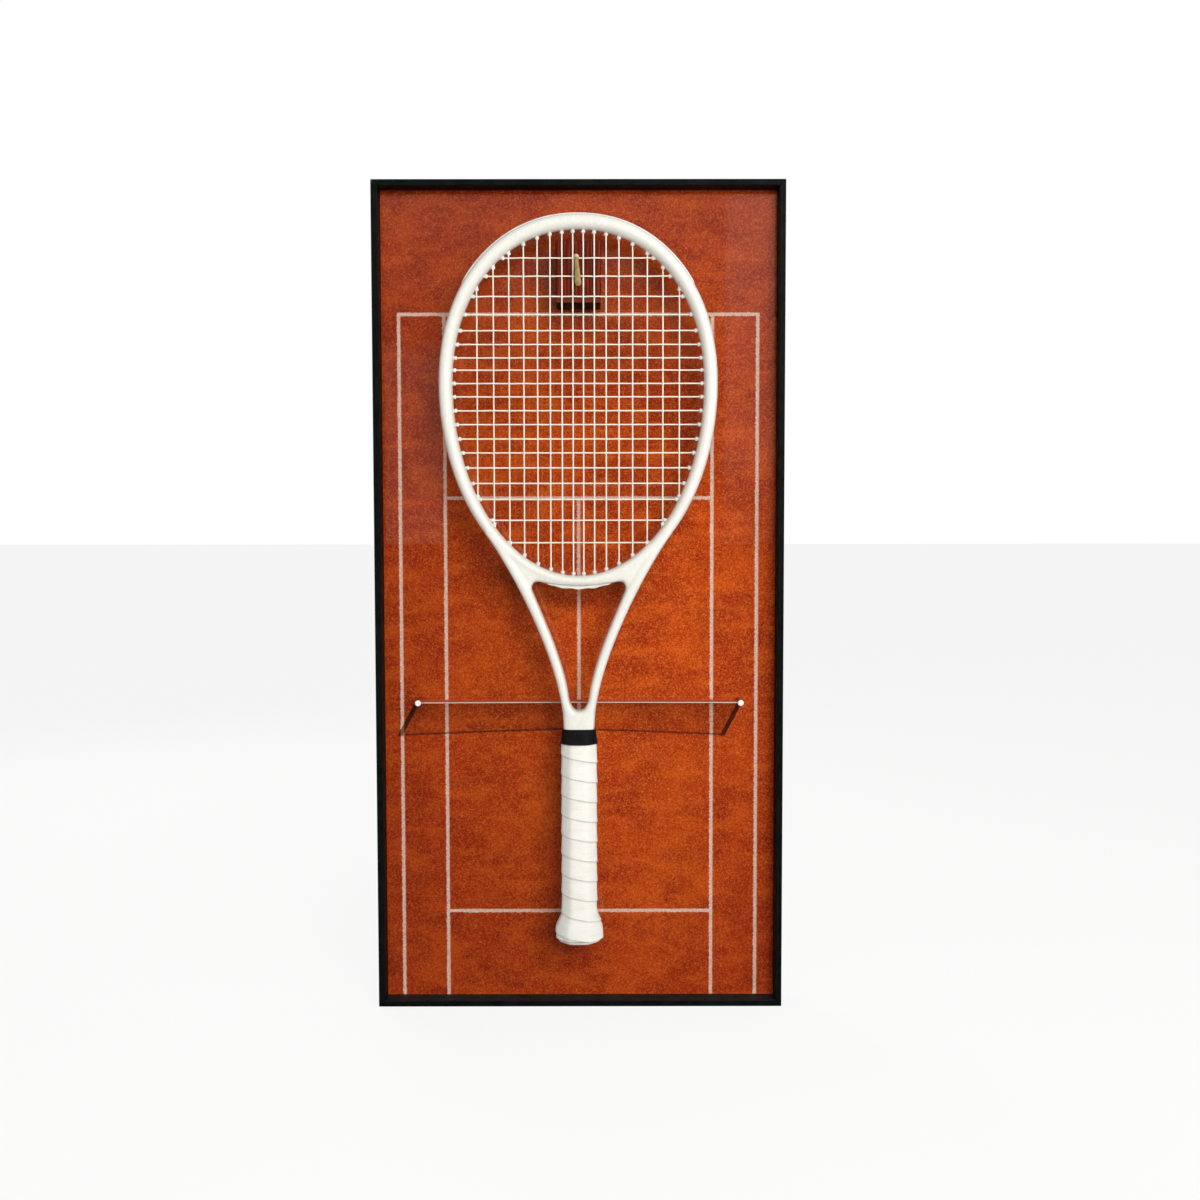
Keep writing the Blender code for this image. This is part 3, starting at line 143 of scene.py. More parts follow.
def build_dust():
    """A mask that is strong on faces turned upwards and broken up by a noise."""
    group, given, result = new_group("dust", "Mask", Amount=0.3)
    work = arithmetic(group)
    face = node(group, "NewGeometry").outputs["Normal"]
    up = node(group, "SeparateXYZ", {0: face}).outputs["Z"]
    broken = work("MULTIPLY", remap(group, up, 0.35, 1.0), noise(group, given["Vector"], 140.0, 4.0))
    feed(group, result, work("MULTIPLY", broken, given["Amount"]))
    return group


SPECKLE = build_speckle()
DUST = build_dust()


def speckle(tree, place, size):
    """The shared speckle placed in a material, with patches of this size."""
    return node(tree, "Group", {"Vector": place, "Size": size}, node_tree=SPECKLE).outputs["Value"]


def start_material(name):
    """A new material with its tree and its Object coordinates."""
    material = bpy.data.materials.new(name)
    material.use_nodes = True
    return material, material.node_tree, node(material.node_tree, "TexCoord").outputs["Object"]


def set_shader(tree, inputs, height=None, depth=0.0):
    """Feed the Principled shader, and let a height, times a depth in metres, tilt its normals."""
    shader = tree.nodes["Principled BSDF"]
    for key, value in inputs.items():
        feed(tree, shader.inputs[key], value)
    if height is not None:
        bump = node(tree, "Bump", {"Height": height, "Distance": depth, "Strength": 1.0})
        feed(tree, shader.inputs["Normal"], bump.outputs["Normal"])
    return shader


def simple_finish(name, dark, light, size, rough, bump, metallic=0.0, stretch=(1, 1, 1), dust=0.0, sheen=0.0,
                  level=0.5):
    """A finish whose tone and gloss both wander between two values over patches of this size."""
    material, tree, place = start_material(name)
    tone = speckle(tree, stretched(tree, place, stretch), size)
    colour = blend_colours(tree, remap(tree, tone, 0.36, 0.64), dark, light)
    if dust:
        mask = node(tree, "Group", {"Vector": place, "Amount": dust}, node_tree=DUST).outputs["Mask"]
        colour = blend_colours(tree, mask, colour, (0.45, 0.43, 0.40))
    set_shader(tree, {"Base Color": colour, "Roughness": remap(tree, tone, 0.36, 0.64, *rough),
                      "Metallic": metallic, "Sheen Weight": sheen, "Specular IOR Level": level}, tone, bump)
    return material


def finish_node(name, material):
    """Give a CAD node its better material."""
    for slot in frame["nodes"][name].material_slots:
        slot.material = material


satin_black = simple_finish("satin_black_lacquer", (0.0018, 0.0027, 0.0025), (0.0048, 0.0064, 0.0060), 0.012,
                            (0.42, 0.56), 0.00010, dust=0.04, level=0.08)
for side in ("top", "right", "bottom", "left"):
    finish_node("rail_" + side, satin_black)


# Corner brackets and hanging plates: stamped steel, zinc plated, lying in the back of the rails.
# The plates' keyholes take the wall's screws.

zinc = simple_finish("zinc_plate", (0.42, 0.43, 0.44), (0.66, 0.67, 0.69), 0.006, (0.24, 0.48), 0.00004,
                     metallic=1.0, stretch=(1, 1, 0.35))
for corner in ("top_left", "top_right", "bottom_right", "bottom_left"):
    finish_node("corner_bracket_" + corner, zinc)
for side in ("left", "right"):
    finish_node("keyhole_plate_" + side, zinc)


# Screws: turned steel, zinc plated, with a domed head and a cross recess pressed into it.
# All are driven from the back, so their heads face the wall.

def grid_faces(rows, columns, loop_rows=False):
    """Quads of a grid whose columns close round: each joins a point, its neighbour and the next row's two."""
    row = np.arange(rows if loop_rows else rows - 1)[:, None]
    column = np.arange(columns)[None, :]
    beside = (column + 1) % columns
    following = (row + 1) % rows
    corners = (row * columns + column, row * columns + beside,
               following * columns + beside, following * columns + column)
    return np.stack(np.broadcast_arrays(*corners), axis=-1).reshape(-1, 4)


def skin(rings, loop=False):
    """Close a stack of rings, an array of (ring, point, xyz), into one shell with a fan at either end."""
    rings = np.asarray(rings, float)
    rows, columns = rings.shape[:2]
    points = rings.reshape(-1, 3)
    faces = grid_faces(rows, columns, loop).tolist()
    if not loop:
        first, last = len(points), len(points) + 1
        points = np.vstack([points, rings[0].mean(0), rings[-1].mean(0)])
        step = np.arange(columns)
        beside = (step + 1) % columns
        base = (rows - 1) * columns
        faces += np.stack([beside, step, np.full(columns, first)], -1).tolist()
        faces += np.stack([base + step, base + beside, np.full(columns, last)], -1).tolist()
    return points, faces


def piece(name, shells, material, body, smooth=35.0, replaces=()):
    """Join shells into one mesh object, point its faces outwards and let it ride on its body."""
    points, faces, start = [], [], 0
    for shell_points, shell_faces in shells:
        points.append(shell_points)
        faces += [[index + start for index in face] for face in shell_faces]
        start += len(shell_points)
    mesh = bpy.data.meshes.new(name)
    mesh.from_pydata(np.vstack(points).tolist(), [], faces)
    builder = bmesh.new()
    builder.from_mesh(mesh)
    bmesh.ops.remove_doubles(builder, verts=builder.verts, dist=1e-6)
    bmesh.ops.dissolve_degenerate(builder, edges=builder.edges, dist=1e-7)
    bmesh.ops.recalc_face_normals(builder, faces=builder.faces)
    builder.to_mesh(mesh)
    builder.free()
    mesh.shade_smooth()
    mesh.set_sharp_from_angle(angle=math.radians(smooth))
    mesh.materials.append(material)
    thing = bpy.data.objects.new(name, mesh)
    bpy.context.scene.collection.objects.link(thing)
    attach(thing, body)
    if replaces:
        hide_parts(*replaces)
    return thing


def ring_angles(sides):
    """Even angles round a turn."""
    return np.arange(sides) * 2 * math.pi / sides


def turned(profile, sides, origin, axis, across):
    """Carry a profile of (radius, height) round an axis: point = origin + height * axis + radius * turn."""
    profile = np.asarray(profile, float)
    axis, across = np.asarray(axis, float), np.asarray(across, float)
    other = np.cross(axis, across)
    angle = ring_angles(sides)
    turn = np.cos(angle)[:, None] * across + np.sin(angle)[:, None] * other
    return np.asarray(origin) + profile[:, 1, None, None] * axis + profile[:, 0, None, None] * turn


def screw_shell(head_radius, head_height, shank_radius, length, origin):
    """A screw along +Y from its head's face at the wall side.

    The head is a grid of radius and angle. Its face falls back with the square of the radius, by a
    seventh of the head's height, and is pressed in along two crossing arms as far as 0.62 of it.
    """
    sides = 32
    angle = ring_angles(sides)
    share = np.array([0.0, 0.1, 0.2, 0.3, 0.4, 0.5, 0.6, 0.7, 0.85, 0.97])[:, None]
    x = share * np.cos(angle) * head_radius
    z = share * np.sin(angle) * head_radius
    in_cross = (np.minimum(np.abs(x), np.abs(z)) < 0.17 * head_radius) & (share < 0.62)
    pressed = 0.62 * head_height * in_cross
    dome = 0.14 * head_height * share ** 2
    face = np.stack([x, dome + pressed, z], -1)
    profile = [(head_radius, 0.3 * head_height), (head_radius * 0.98, 0.5 * head_height),
               (shank_radius, head_height), (shank_radius, length * 0.9), (shank_radius * 0.3, length)]
    body = turned(profile, sides, (0, 0, 0), (0, 1, 0), (1, 0, 0))
    # the turned body runs round the other way, so its angles are read backwards
    body = body[:, (-np.arange(sides)) % sides]
    return skin(np.concatenate([face, body]) + np.asarray(origin))


for name in sorted(name for name in frame["nodes"] if "_screw_" in name):
    low, high = (np.array(corner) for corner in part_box(name))
    head = (high[0] - low[0]) / 2
    middle = (low + high) / 2
    screw = screw_shell(head, head * 0.55, head * 0.5, high[1] - low[1], (middle[0], low[1], middle[2]))
    piece("driven_" + name, [screw], zinc, "tray", replaces=(name,))


# Backing board: a sheet of brown fibreboard that fills the tray behind the print.
# It is screwed to the side rails' feet and carries the block and the net posts.

def ramp(tree, factor, stops):
    """A colour ramp over a factor. Stops are (place, grey value or colour)."""
    made = node(tree, "ValToRGB", {"Fac": factor})
    marks = made.color_ramp.elements
    while len(marks) < len(stops):
        marks.new(0.5)
    for mark, (place, colour) in zip(marks, stops):
        mark.position = place
        mark.color = (*colour, 1) if isinstance(colour, tuple) else (colour, colour, colour, 1)
    return made.outputs["Color"]


def overlay(tree, colour, pattern, start, end, tint):
    """Lay a tint over a colour, as strong as two marks of (pattern's value, strength) say."""
    return blend_colours(tree, ramp(tree, pattern, [start, end]), colour, tint)


def fibre_board():
    """Short pale fibres, a noise drawn out along X, over a brown ground."""
    material, tree, place = start_material("fibre_board")
    fibre = noise(tree, stretched(tree, place, (1, 1, 4)), 700.0, 4.0, distortion=0.8)
    ground = blend_colours(tree, speckle(tree, place, 0.05), (0.26, 0.155, 0.085), (0.38, 0.25, 0.15))
    colour = overlay(tree, ground, fibre, (0.45, 0.0), (0.72, 1.0), (0.50, 0.37, 0.24))
    set_shader(tree, {"Base Color": colour, "Roughness": 0.86}, fibre, 0.0002)
    return material


finish_node("backing_board", fibre_board())


# Court print: a half-millimetre sheet printed with a red clay court seen from above.
# The chalk lines are those of a court drawn to scale round the net. All places are in metres.

COURT_MIDDLE = (-0.0008, -0.4894)
LINE_WIDTH = 0.0033
DOUBLES, SINGLES = 0.1717, 0.1284
BASELINE, SERVICE = 0.3766, 0.2015
NET_PRINT = -0.4830
POSTS_PRINT = (-0.1565, 0.1566)
SUN_SHIFT = (0.0185, 0.0357)


def clay_print():
    """Rusty sand grains over broad damp and dry patches, with ragged chalk lines brushed on top.

    Each line is a box: its mask is 1 where a point lies within half a line's width of the line and
    between its two ends. The distance is shaken by a fine noise, so the edges are grainy. The picture
    also has the net's shadow in a low sun: a slanting bar from each post, a thin curve for the band
    and a faint tone between them for the mesh.
    """
    material, tree, place = start_material("clay_court_print")
    work = arithmetic(tree)
    axes = node(tree, "SeparateXYZ", {0: place}).outputs
    patch = noise(tree, place, 7.0, 4.0, 0.6)
    cloud = noise(tree, place, 31.0, 5.0, 0.62)
    grain = noise(tree, place, 620.0, 4.0, 0.62, 0.5)
    sand = noise(tree, place, 900.0, 3.0, 0.6)
    drag = stretched(tree, place, (0.4, 1.0, 1.0), (0, 0.2, 0))
    brush = noise(tree, drag, 75.0, 5.0)
    flake = node(tree, "TexVoronoi", {"Vector": drag, "Scale": 150.0, "Randomness": 1.0}).outputs["Distance"]

    clay = ramp(tree, patch, [(0.36, (0.400, 0.0310, 0.0024)), (0.50, (0.510, 0.0520, 0.0032)),
                              (0.64, (0.620, 0.0900, 0.0042))])
    # damp clouds, brushed streaks, pits, crumbs and dry dust, each laid over what comes before it
    for pattern, start, end, tint in (
            (cloud, (0.38, 0.85), (0.58, 0.0), (0.330, 0.0240, 0.0022)),
            (brush, (0.48, 0.0), (0.66, 0.7), (0.660, 0.1000, 0.0070)),
            (grain, (0.36, 0.62), (0.49, 0.0), (0.235, 0.0140, 0.0010)),
            (grain, (0.52, 0.0), (0.66, 0.70), (0.780, 0.1950, 0.0300)),
            (sand, (0.53, 0.0), (0.68, 0.75), (0.720, 0.1700, 0.0260))):
        clay = overlay(tree, clay, pattern, start, end, tint)
    fleck = ramp(tree, flake, [(0.05, 0.8), (0.12, 0.0)])
    sparse = ramp(tree, cloud, [(0.53, 0.0), (0.62, 0.9)])
    clay = blend_colours(tree, work("MULTIPLY", fleck, sparse), clay, (0.80, 0.28, 0.055))
    # the print is darker and redder away from the court's middle
    wide = work("DIVIDE", work("SUBTRACT", axes["X"], 0.03), 0.21)
    tall = work("DIVIDE", work("ADD", axes["Z"], 0.38), 0.37)
    outward = work("SQRT", work("ADD", work("MULTIPLY", wide, wide), work("MULTIPLY", tall, tall)))
    redder = blend_colours(tree, 1.0, clay, (0.72, 0.60, 0.62), mode="MULTIPLY")
    clay = blend_colours(tree, remap(tree, outward, 0.30, 1.15), clay, redder)
    # painted light: the print is brightened a little more towards its right side, where the room's light falls
    # stronger
    painted_light_gain = remap(tree, axes["X"], -0.17, 0.14, 1.17, 1.25)
    clay = blend_colours(tree, 1.0, clay, painted_light_gain, mode="MULTIPLY")

    shake = work("MULTIPLY", work("SUBTRACT", sand, 0.5), 0.0030)
    x = work("SUBTRACT", work("ADD", axes["X"], shake), COURT_MIDDLE[0])
    z = work("SUBTRACT", work("ADD", axes["Z"], shake), COURT_MIDDLE[1])
    half = LINE_WIDTH / 2
    lines = [(0, DOUBLES + half, side * BASELINE, half) for side in (-1, 1)]
    lines += [(0, SINGLES, side * SERVICE, half) for side in (-1, 1)] + [(0, half, 0, SERVICE)]
    lines += [(side * reach, half, 0, BASELINE) for side in (-1, 1) for reach in (DOUBLES, SINGLES)]
    # how far a point lies outside the nearest line's box, which is less than 0 inside it
    chalk = None
    for x_middle, x_half, z_middle, z_half in lines:
        off_x = work("SUBTRACT", work("ABSOLUTE", work("SUBTRACT", x, x_middle)), x_half)
        off_z = work("SUBTRACT", work("ABSOLUTE", work("SUBTRACT", z, z_middle)), z_half)
        off = work("MAXIMUM", off_x, off_z)
        chalk = off if chalk is None else work("MINIMUM", chalk, off)
    on_line = remap(tree, chalk, 0.0003, -0.0004)
    powder = work("MULTIPLY", on_line, ramp(tree, grain, [(0.36, 0.70), (0.52, 0.98)]))
    chalk_tone = blend_colours(tree, ramp(tree, sand, [(0.38, 0.0), (0.62, 1.0)]),
                               (0.82, 0.50, 0.38), (0.98, 0.74, 0.61))
    colour = blend_colours(tree, powder, clay, chalk_tone)

    # how far down the shadow a point lies, from 0 at the net to 1 at its far edge, and where it came from
    fall = work("DIVIDE", work("SUBTRACT", NET_PRINT, axes["Z"]), SUN_SHIFT[1])
    source = work("ADD", axes["X"], work("MULTIPLY", fall, SUN_SHIFT[0]))
    tip = remap(tree, fall, 1.03, 0.97)
    shade = 0.0
    for post in POSTS_PRINT:
        bar = remap(tree, work("ABSOLUTE", work("SUBTRACT", source, post)), 0.0029, 0.0021)
        shade = work("MAXIMUM", shade, work("MULTIPLY", work("MULTIPLY", bar, tip), 0.90))
    # the band's shadow sags with the distance from the net's middle, and the mesh's lies above it
    sag = work("POWER", work("ABSOLUTE", work("DIVIDE", work("ADD", axes["X"], 0.013), 0.156)), 1.3)
    edge = work("ADD", work("MULTIPLY", sag, 0.15), 0.812)
    band = remap(tree, work("ABSOLUTE", work("SUBTRACT", fall, edge)), 0.036, 0.016)
    between = remap(tree, work("ABSOLUTE", source), 0.1570, 0.1555)
    shade = work("MAXIMUM", shade, work("MULTIPLY", work("MULTIPLY", band, between), 0.72))
    above = remap(tree, work("SUBTRACT", edge, fall), 0.0, 0.03)
    mesh_tone = work("MULTIPLY", above, remap(tree, grain, 0.35, 0.65, 0.26, 0.14))
    shade = work("MAXIMUM", shade, work("MULTIPLY", mesh_tone, between))
    shade = work("MULTIPLY", shade, remap(tree, fall, -0.01, 0.03))
    in_shade = blend_colours(tree, powder, (0.014, 0.004, 0.002), (0.16, 0.07, 0.04))
    colour = blend_colours(tree, shade, colour, in_shade)
    set_shader(tree, {"Base Color": colour, "Roughness": 0.75, "Specular IOR Level": 0.08}, grain, 0.00004)
    return material


finish_node("court_print", clay_print())


# Acrylic sheet: 2 mm of clear acrylic over the print, drilled for the posts and the block's screws.
# Its polished face shows the room faintly. Lamps shine through it as they do through the real sheet.

def clear_acrylic():
    """Clear glass-like plastic with faint smears in its gloss; a lamp's shadow rays go straight through."""
    material, tree, place = start_material("clear_acrylic_sheet")
    smear = noise(tree, place, 14.0, 5.0)
    shader = set_shader(tree, {"Base Color": (0.985, 0.99, 0.99, 1), "Transmission Weight": 1.0, "IOR": 1.49,
                               "Roughness": remap(tree, smear, 0.35, 0.7, 0.0, 0.03)})
    through = node(tree, "BsdfTransparent", {"Color": (0.96, 0.965, 0.965, 1)})
    path = node(tree, "LightPath")
    either = node(tree, "MixShader", {0: path.outputs["Is Shadow Ray"], 1: shader.outputs[0],
                                      2: through.outputs[0]})
    tree.links.new(either.outputs[0], tree.nodes["Material Output"].inputs["Surface"])
    return material


finish_node("acrylic_sheet", clear_acrylic())


# Hook block: a chunk of red-brown hardwood with upright grain, oiled, its edges eased.
# It stands on the acrylic and is screwed from behind the board. Its lowest few millimetres carry a painted
# highlight, and its underside painted shade.

MM = 0.001


def block_wood():
    """Upright grain: rings far from the block's middle, drawn out along Z, with dark pores, a painted
    highlight along the foot and painted shade on the underside.
    """
    material, tree, place = start_material("oiled_hardwood")
    drawn = stretched(tree, place, (1.0, 1.0, 0.09), shift=(0.31, 0.12, 0.0))
    ring = node(tree, "TexWave", {"Vector": drawn, "Scale": 95.0, "Distortion": 5.5, "Detail": 3.0,
                                  "Detail Scale": 1.6}, wave_type="RINGS", rings_direction="Z")
    streak = noise(tree, drawn, 420.0, 5.0, 0.6)
    pore_place = stretched(tree, place, (1.0, 1.0, 0.05))
    pore = node(tree, "TexVoronoi", {"Vector": pore_place, "Scale": 1500.0}).outputs["Distance"]
    colour = ramp(tree, ring.outputs["Fac"], [(0.1, (0.075, 0.0060, 0.0012)), (0.55, (0.150, 0.0125, 0.0028)),
                                              (0.95, (0.220, 0.0230, 0.0060))])
    colour = overlay(tree, colour, streak, (0.40, 0.62), (0.62, 0.0), (0.030, 0.0030, 0.0010))
    colour = overlay(tree, colour, pore, (0.06, 0.75), (0.20, 0.0), (0.014, 0.0020, 0.0010))
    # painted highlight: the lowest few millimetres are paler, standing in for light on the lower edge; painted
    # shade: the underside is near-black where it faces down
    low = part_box("hook_block")[0][2]
    height = node(tree, "SeparateXYZ", {0: place}).outputs["Z"]
    painted_foot_highlight = blend_colours(tree, streak, (0.085, 0.014, 0.006), (0.140, 0.028, 0.012))
    colour = blend_colours(tree, remap(tree, height, low + 4.9 * MM, low + 4.3 * MM), colour, painted_foot_highlight)
    under = remap(tree, height, low + 0.35 * MM, low + 0.1 * MM)
    colour = blend_colours(tree, under, colour, (0.0060, 0.0012, 0.0006))
    set_shader(tree, {"Base Color": colour, "Roughness": remap(tree, streak, 0.35, 0.65, 0.36, 0.55),
                      "Specular IOR Level": 0.1}, streak, 0.00025)
    return material


def rounded_box(low, high, radius, steps=5):
    """A box with round edges: a sphere's points, each pushed out to the box's inset corners.

    The sphere is a grid of two angles. A point is the sphere's radius times its direction plus, in
    each axis, the inset half size with the direction's own sign.
    """
    low, high = np.asarray(low, float), np.asarray(high, float)
    inset = (high - low) / 2 - radius
    quarter = np.linspace(0, math.pi / 2, steps + 1)
    turn = np.concatenate([quarter + k * math.pi / 2 for k in range(4)])
    corner = np.repeat(np.arange(4), steps + 1)
    sign_x = np.array([1, -1, -1, 1])[corner]
    sign_y = np.array([1, 1, -1, -1])[corner]
    rise = np.concatenate([quarter - math.pi / 2, quarter])
    sign_z = np.repeat([-1, 1], steps + 1)
    x = radius * np.cos(rise)[:, None] * np.cos(turn) + inset[0] * sign_x
    y = radius * np.cos(rise)[:, None] * np.sin(turn) + inset[1] * sign_y
    z = np.broadcast_to((radius * np.sin(rise) + inset[2] * sign_z)[:, None], x.shape)
    return np.stack([x, y, z], -1) + (low + high) / 2


block = skin(rounded_box(*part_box("hook_block"), 1.1 * MM))
piece("hardwood_block", [block], block_wood(), "tray", replaces=("hook_block",))


# Hook: turned brass rod. Its shank is glued into the block, and the arm leans and slopes up at
# 45 degrees, tapering to a neck and a small ball that keeps the string on.

HOOK_PIVOT = np.array(frame["joints"][0]["pos_m"])
HOOK_ARM = np.array(frame["joints"][1]["axis"])
BALL_REACH = 28 * MM


def frames_along(path, hint):
    """Unit vectors across a path: its direction crossed with a hint, and that crossed with the direction."""
    step = np.gradient(path, axis=0)
    step /= np.linalg.norm(step, axis=1)[:, None]
    side = np.cross(step, np.asarray(hint, float))
    side /= np.linalg.norm(side, axis=1)[:, None]
    return side, np.cross(side, step)


def tube(path, radius, sides, hint):
    """Carry a circle along a path: point = path + radius * (cos * side + sin * up)."""
    path = np.asarray(path, float)
    side, up = frames_along(path, hint)
    angle = ring_angles(sides)
    radius = np.broadcast_to(np.asarray(radius, float), (len(path),))[:, None, None]
    return path[:, None] + radius * (np.cos(angle)[None, :, None] * side[:, None]
                                     + np.sin(angle)[None, :, None] * up[:, None])


def hook_ball(radius, reach):
    """A ball on the arm: a half circle, radius times (sine, minus cosine) of an angle, turned about it."""
    angle = np.linspace(0, math.pi, 15)
    profile = np.stack([np.sin(angle), -np.cos(angle)], -1) * radius
    across = np.cross(HOOK_ARM, (1, 0, 0))
    return turned(profile, 32, HOOK_PIVOT + HOOK_ARM * reach, HOOK_ARM, across / np.linalg.norm(across))


def aged_brass():
    """Warm yellow metal with slightly browned patches and an uneven gloss."""
    material, tree, place = start_material("aged_brass")
    tone = speckle(tree, place, 0.004)
    colour = ramp(tree, tone, [(0.36, (0.40, 0.29, 0.095)), (0.50, (0.55, 0.42, 0.165)),
                               (0.66, (0.72, 0.59, 0.30))])
    set_shader(tree, {"Base Color": colour, "Roughness": remap(tree, tone, 0.35, 0.65, 0.28, 0.44),
                      "Metallic": 0.45}, tone, 0.00012)
    return material


arm_share = np.linspace(0, 1, 24)
arm_radius = (3.1 - 1.4 * arm_share ** 0.8) * MM
arm = tube(HOOK_PIVOT + np.outer(arm_share * 26.4 * MM, HOOK_ARM), arm_radius, 32, (1, 0, 0))
shank = tube(HOOK_PIVOT + np.outer(np.linspace(0, 16.3, 8) * MM, (0, 1, 0)), 2.0 * MM, 24, (0, 0, 1))
hook_rings = (arm, hook_ball(3.1 * MM, 0), hook_ball(2.6 * MM, BALL_REACH), shank)
piece("turned_hook", [skin(rings) for rings in hook_rings], aged_brass(), "hook", replaces=("hook_peg",))


# Net posts: clay-red pegs with a small white domed cap, pressed through the acrylic into the board.
# The net hangs between them, square to the panel.

POST_RADIUS, CAP_RADIUS = 2.25 * MM, 2.85 * MM


def post_lacquer():
    """White lacquer on the cap and a clay-red stain on the stem, split by depth below the post's top."""
    material, tree, place = start_material("post_lacquer")
    tone = speckle(tree, place, 0.003)
    white = blend_colours(tree, tone, (0.70, 0.67, 0.63), (0.84, 0.82, 0.78))
    stain = blend_colours(tree, tone, (0.26, 0.026, 0.005), (0.42, 0.050, 0.010))
    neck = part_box("net_post_left")[0][1] + 2.3 * MM
    depth = node(tree, "SeparateXYZ", {0: place}).outputs["Y"]
    stem = remap(tree, depth, neck - 0.1 * MM, neck + 0.1 * MM)
    set_shader(tree, {"Base Color": blend_colours(tree, stem, white, stain),
                      "Roughness": remap(tree, tone, 0.35, 0.65, 0.28, 0.45)}, tone, 0.00003)
    return material


def post_rings(low, high):
    """A profile turned round the post's axis: a dimple in the cap, its dome, its rim, the neck and the stem.

    The dome's radius is the cap's times a cosine to the power 0.6, and its height falls with the sine.
    """
    top, foot = -low[1], -high[1]
    dome = np.linspace(math.pi / 2, 0, 7)[1:]
    round_edge = np.stack([CAP_RADIUS * np.cos(dome) ** 0.6, top - 1.1 * MM + 1.1 * MM * np.sin(dome)], -1)
    profile = np.concatenate([
        [(0.3 * MM, top - 0.75 * MM), (0.7 * MM, top - 0.7 * MM), (0.95 * MM, top - 0.05 * MM)], round_edge,
        [(CAP_RADIUS, top - 1.9 * MM), (CAP_RADIUS * 0.94, top - 2.2 * MM), (POST_RADIUS, top - 2.25 * MM),
         (POST_RADIUS, foot + 0.4 * MM), (POST_RADIUS * 0.85, foot)]])
    middle = (low + high) / 2
    return turned(profile, 32, (middle[0], 0, middle[2]), (0, -1, 0), (1, 0, 0))


post_paint = post_lacquer()
for side in ("left", "right"):
    rings = post_rings(*(np.array(corner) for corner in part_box("net_post_" + side)))
    piece("turned_post_" + side, [skin(rings)], post_paint, "tray", replaces=("net_post_" + side,))


# Net: fine red-brown thread knotted square, hung from a white band of webbing that dips to its middle.
# The band is sewn round the top thread and glued to both posts.

NET_LINE = (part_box("net_band")[0][2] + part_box("net_band")[1][2]) / 2
PANEL_FACE = 17.4 * MM
POST_REACH = 153.5 * MM
BAND_REACH = POST_REACH - 2.3 * MM
BAND_HALF_DEPTH, BAND_HALF_HEIGHT = 0.9 * MM, 0.4 * MM
THREAD_RADIUS = 0.2 * MM
COLUMNS, ROWS = 96, 6


def signed_power(value, power):
    """Raise a number's size to a power and keep its sign."""
    return np.sign(value) * np.abs(value) ** power


def net_top(x):
    """Depth of the band's middle in front of the wall: a shallow curve from 22 mm at the posts to 18.5 mm."""
    return PANEL_FACE + (18.5 + 3.5 * (np.abs(x) / POST_REACH) ** 1.15) * MM


def net_points(x, depth):
    """Points at the net's height, so far from the wall."""
    return np.stack(np.broadcast_arrays(x, -depth, NET_LINE), -1)


def woven_band():
    """White webbing: fine slanting ribs, a wave pattern, over a tone that wanders a little."""
    material, tree, place = start_material("band_webbing")
    rib = node(tree, "TexWave", {"Vector": place, "Scale": 900.0, "Distortion": 1.0},
               bands_direction="DIAGONAL").outputs["Fac"]
    colour = blend_colours(tree, rib, (0.66, 0.50, 0.42), (0.86, 0.74, 0.67))
    colour = blend_colours(tree, speckle(tree, place, 0.004), colour, (0.82, 0.66, 0.57))
    set_shader(tree, {"Base Color": colour, "Roughness": 0.85, "Sheen Weight": 0.2}, rib, 0.0002)
    return material


band_x = np.linspace(-BAND_REACH, BAND_REACH, 161)
band_angle = ring_angles(14)
band_section = np.stack([np.zeros(14), BAND_HALF_DEPTH * signed_power(np.cos(band_angle), 0.7),
                         BAND_HALF_HEIGHT * signed_power(np.sin(band_angle), 0.7)], -1)
band_rings = net_points(band_x, net_top(band_x))[:, None] + band_section
piece("net_top_band", [skin(band_rings)], woven_band(), "tray", replaces=("net_band",))

thread = simple_finish("net_thread", (0.30, 0.034, 0.006), (0.48, 0.062, 0.011), 0.002, (0.7, 0.9), 0.0001,
                       sheen=0.15)
net_foot = PANEL_FACE + 0.5 * MM
long_x = np.linspace(-BAND_REACH, BAND_REACH, 49)
thread_paths = [net_points(x, np.array([net_foot, net_top(x) - BAND_HALF_DEPTH]))
                for x in np.linspace(-BAND_REACH, BAND_REACH, COLUMNS + 1)]
thread_paths += [net_points(long_x, net_foot + row / ROWS * (net_top(long_x) - BAND_HALF_DEPTH - net_foot))
                 for row in range(ROWS)]
threads = [skin(tube(path, THREAD_RADIUS, 4, (0, 0, 1))) for path in thread_paths]
piece("knotted_net", threads, thread, "tray", replaces=("net_mesh",))


# Racket frame: one hollow moulding of glossy white composite. A hoop, two arms and a shaft, all
# full and round in section, flow into each other round the throat.

RACKET = np.array([0.0, -55.9, -183.025]) * MM
HEAD_HALF_WIDTH, HEAD_RISE, HEAD_DROP = 129.6, 155.5, 187.8
INNER_HALF_WIDTH, INNER_RISE, INNER_DROP = 116.5, 141.2, 177.8
EGG_POWER = 2.12
HALF_DEPTH = 10.75
THROAT_HALF_WIDTH, THROAT_BOTTOM = 38.3, -305.2
BRIDGE_ARCH = 4.3
CORNER_RADIUS, FOOT_RADIUS = 5.5, 8.8
BUTT_END = HEAD_RISE - 680
GRIP_TOP = BUTT_END + 188.6
COLLAR_TOP = GRIP_TOP + 14.2
SHAFT_HALF_WIDTH = 14.7


def racket_place(x, y, z):
    """Points of the racket's own measure, in millimetres, put into the world, in metres."""
    return np.stack(np.broadcast_arrays(x, y, z), -1) * MM + RACKET


def flat_points(x, z):
    """Points (x, z) in the racket's plane."""
    return np.stack(np.broadcast_arrays(x, z), -1)


def egg(angle, half_width, rise, drop):
    """The head's outline: a superellipse above the widest line and an ellipse below it."""
    upper = np.sin(angle) >= 0
    power = np.where(upper, 2 / EGG_POWER, 1.0)
    x = half_width * signed_power(np.cos(angle), power)
    z = np.where(upper, rise, drop) * signed_power(np.sin(angle), power)
    return flat_points(x, z)


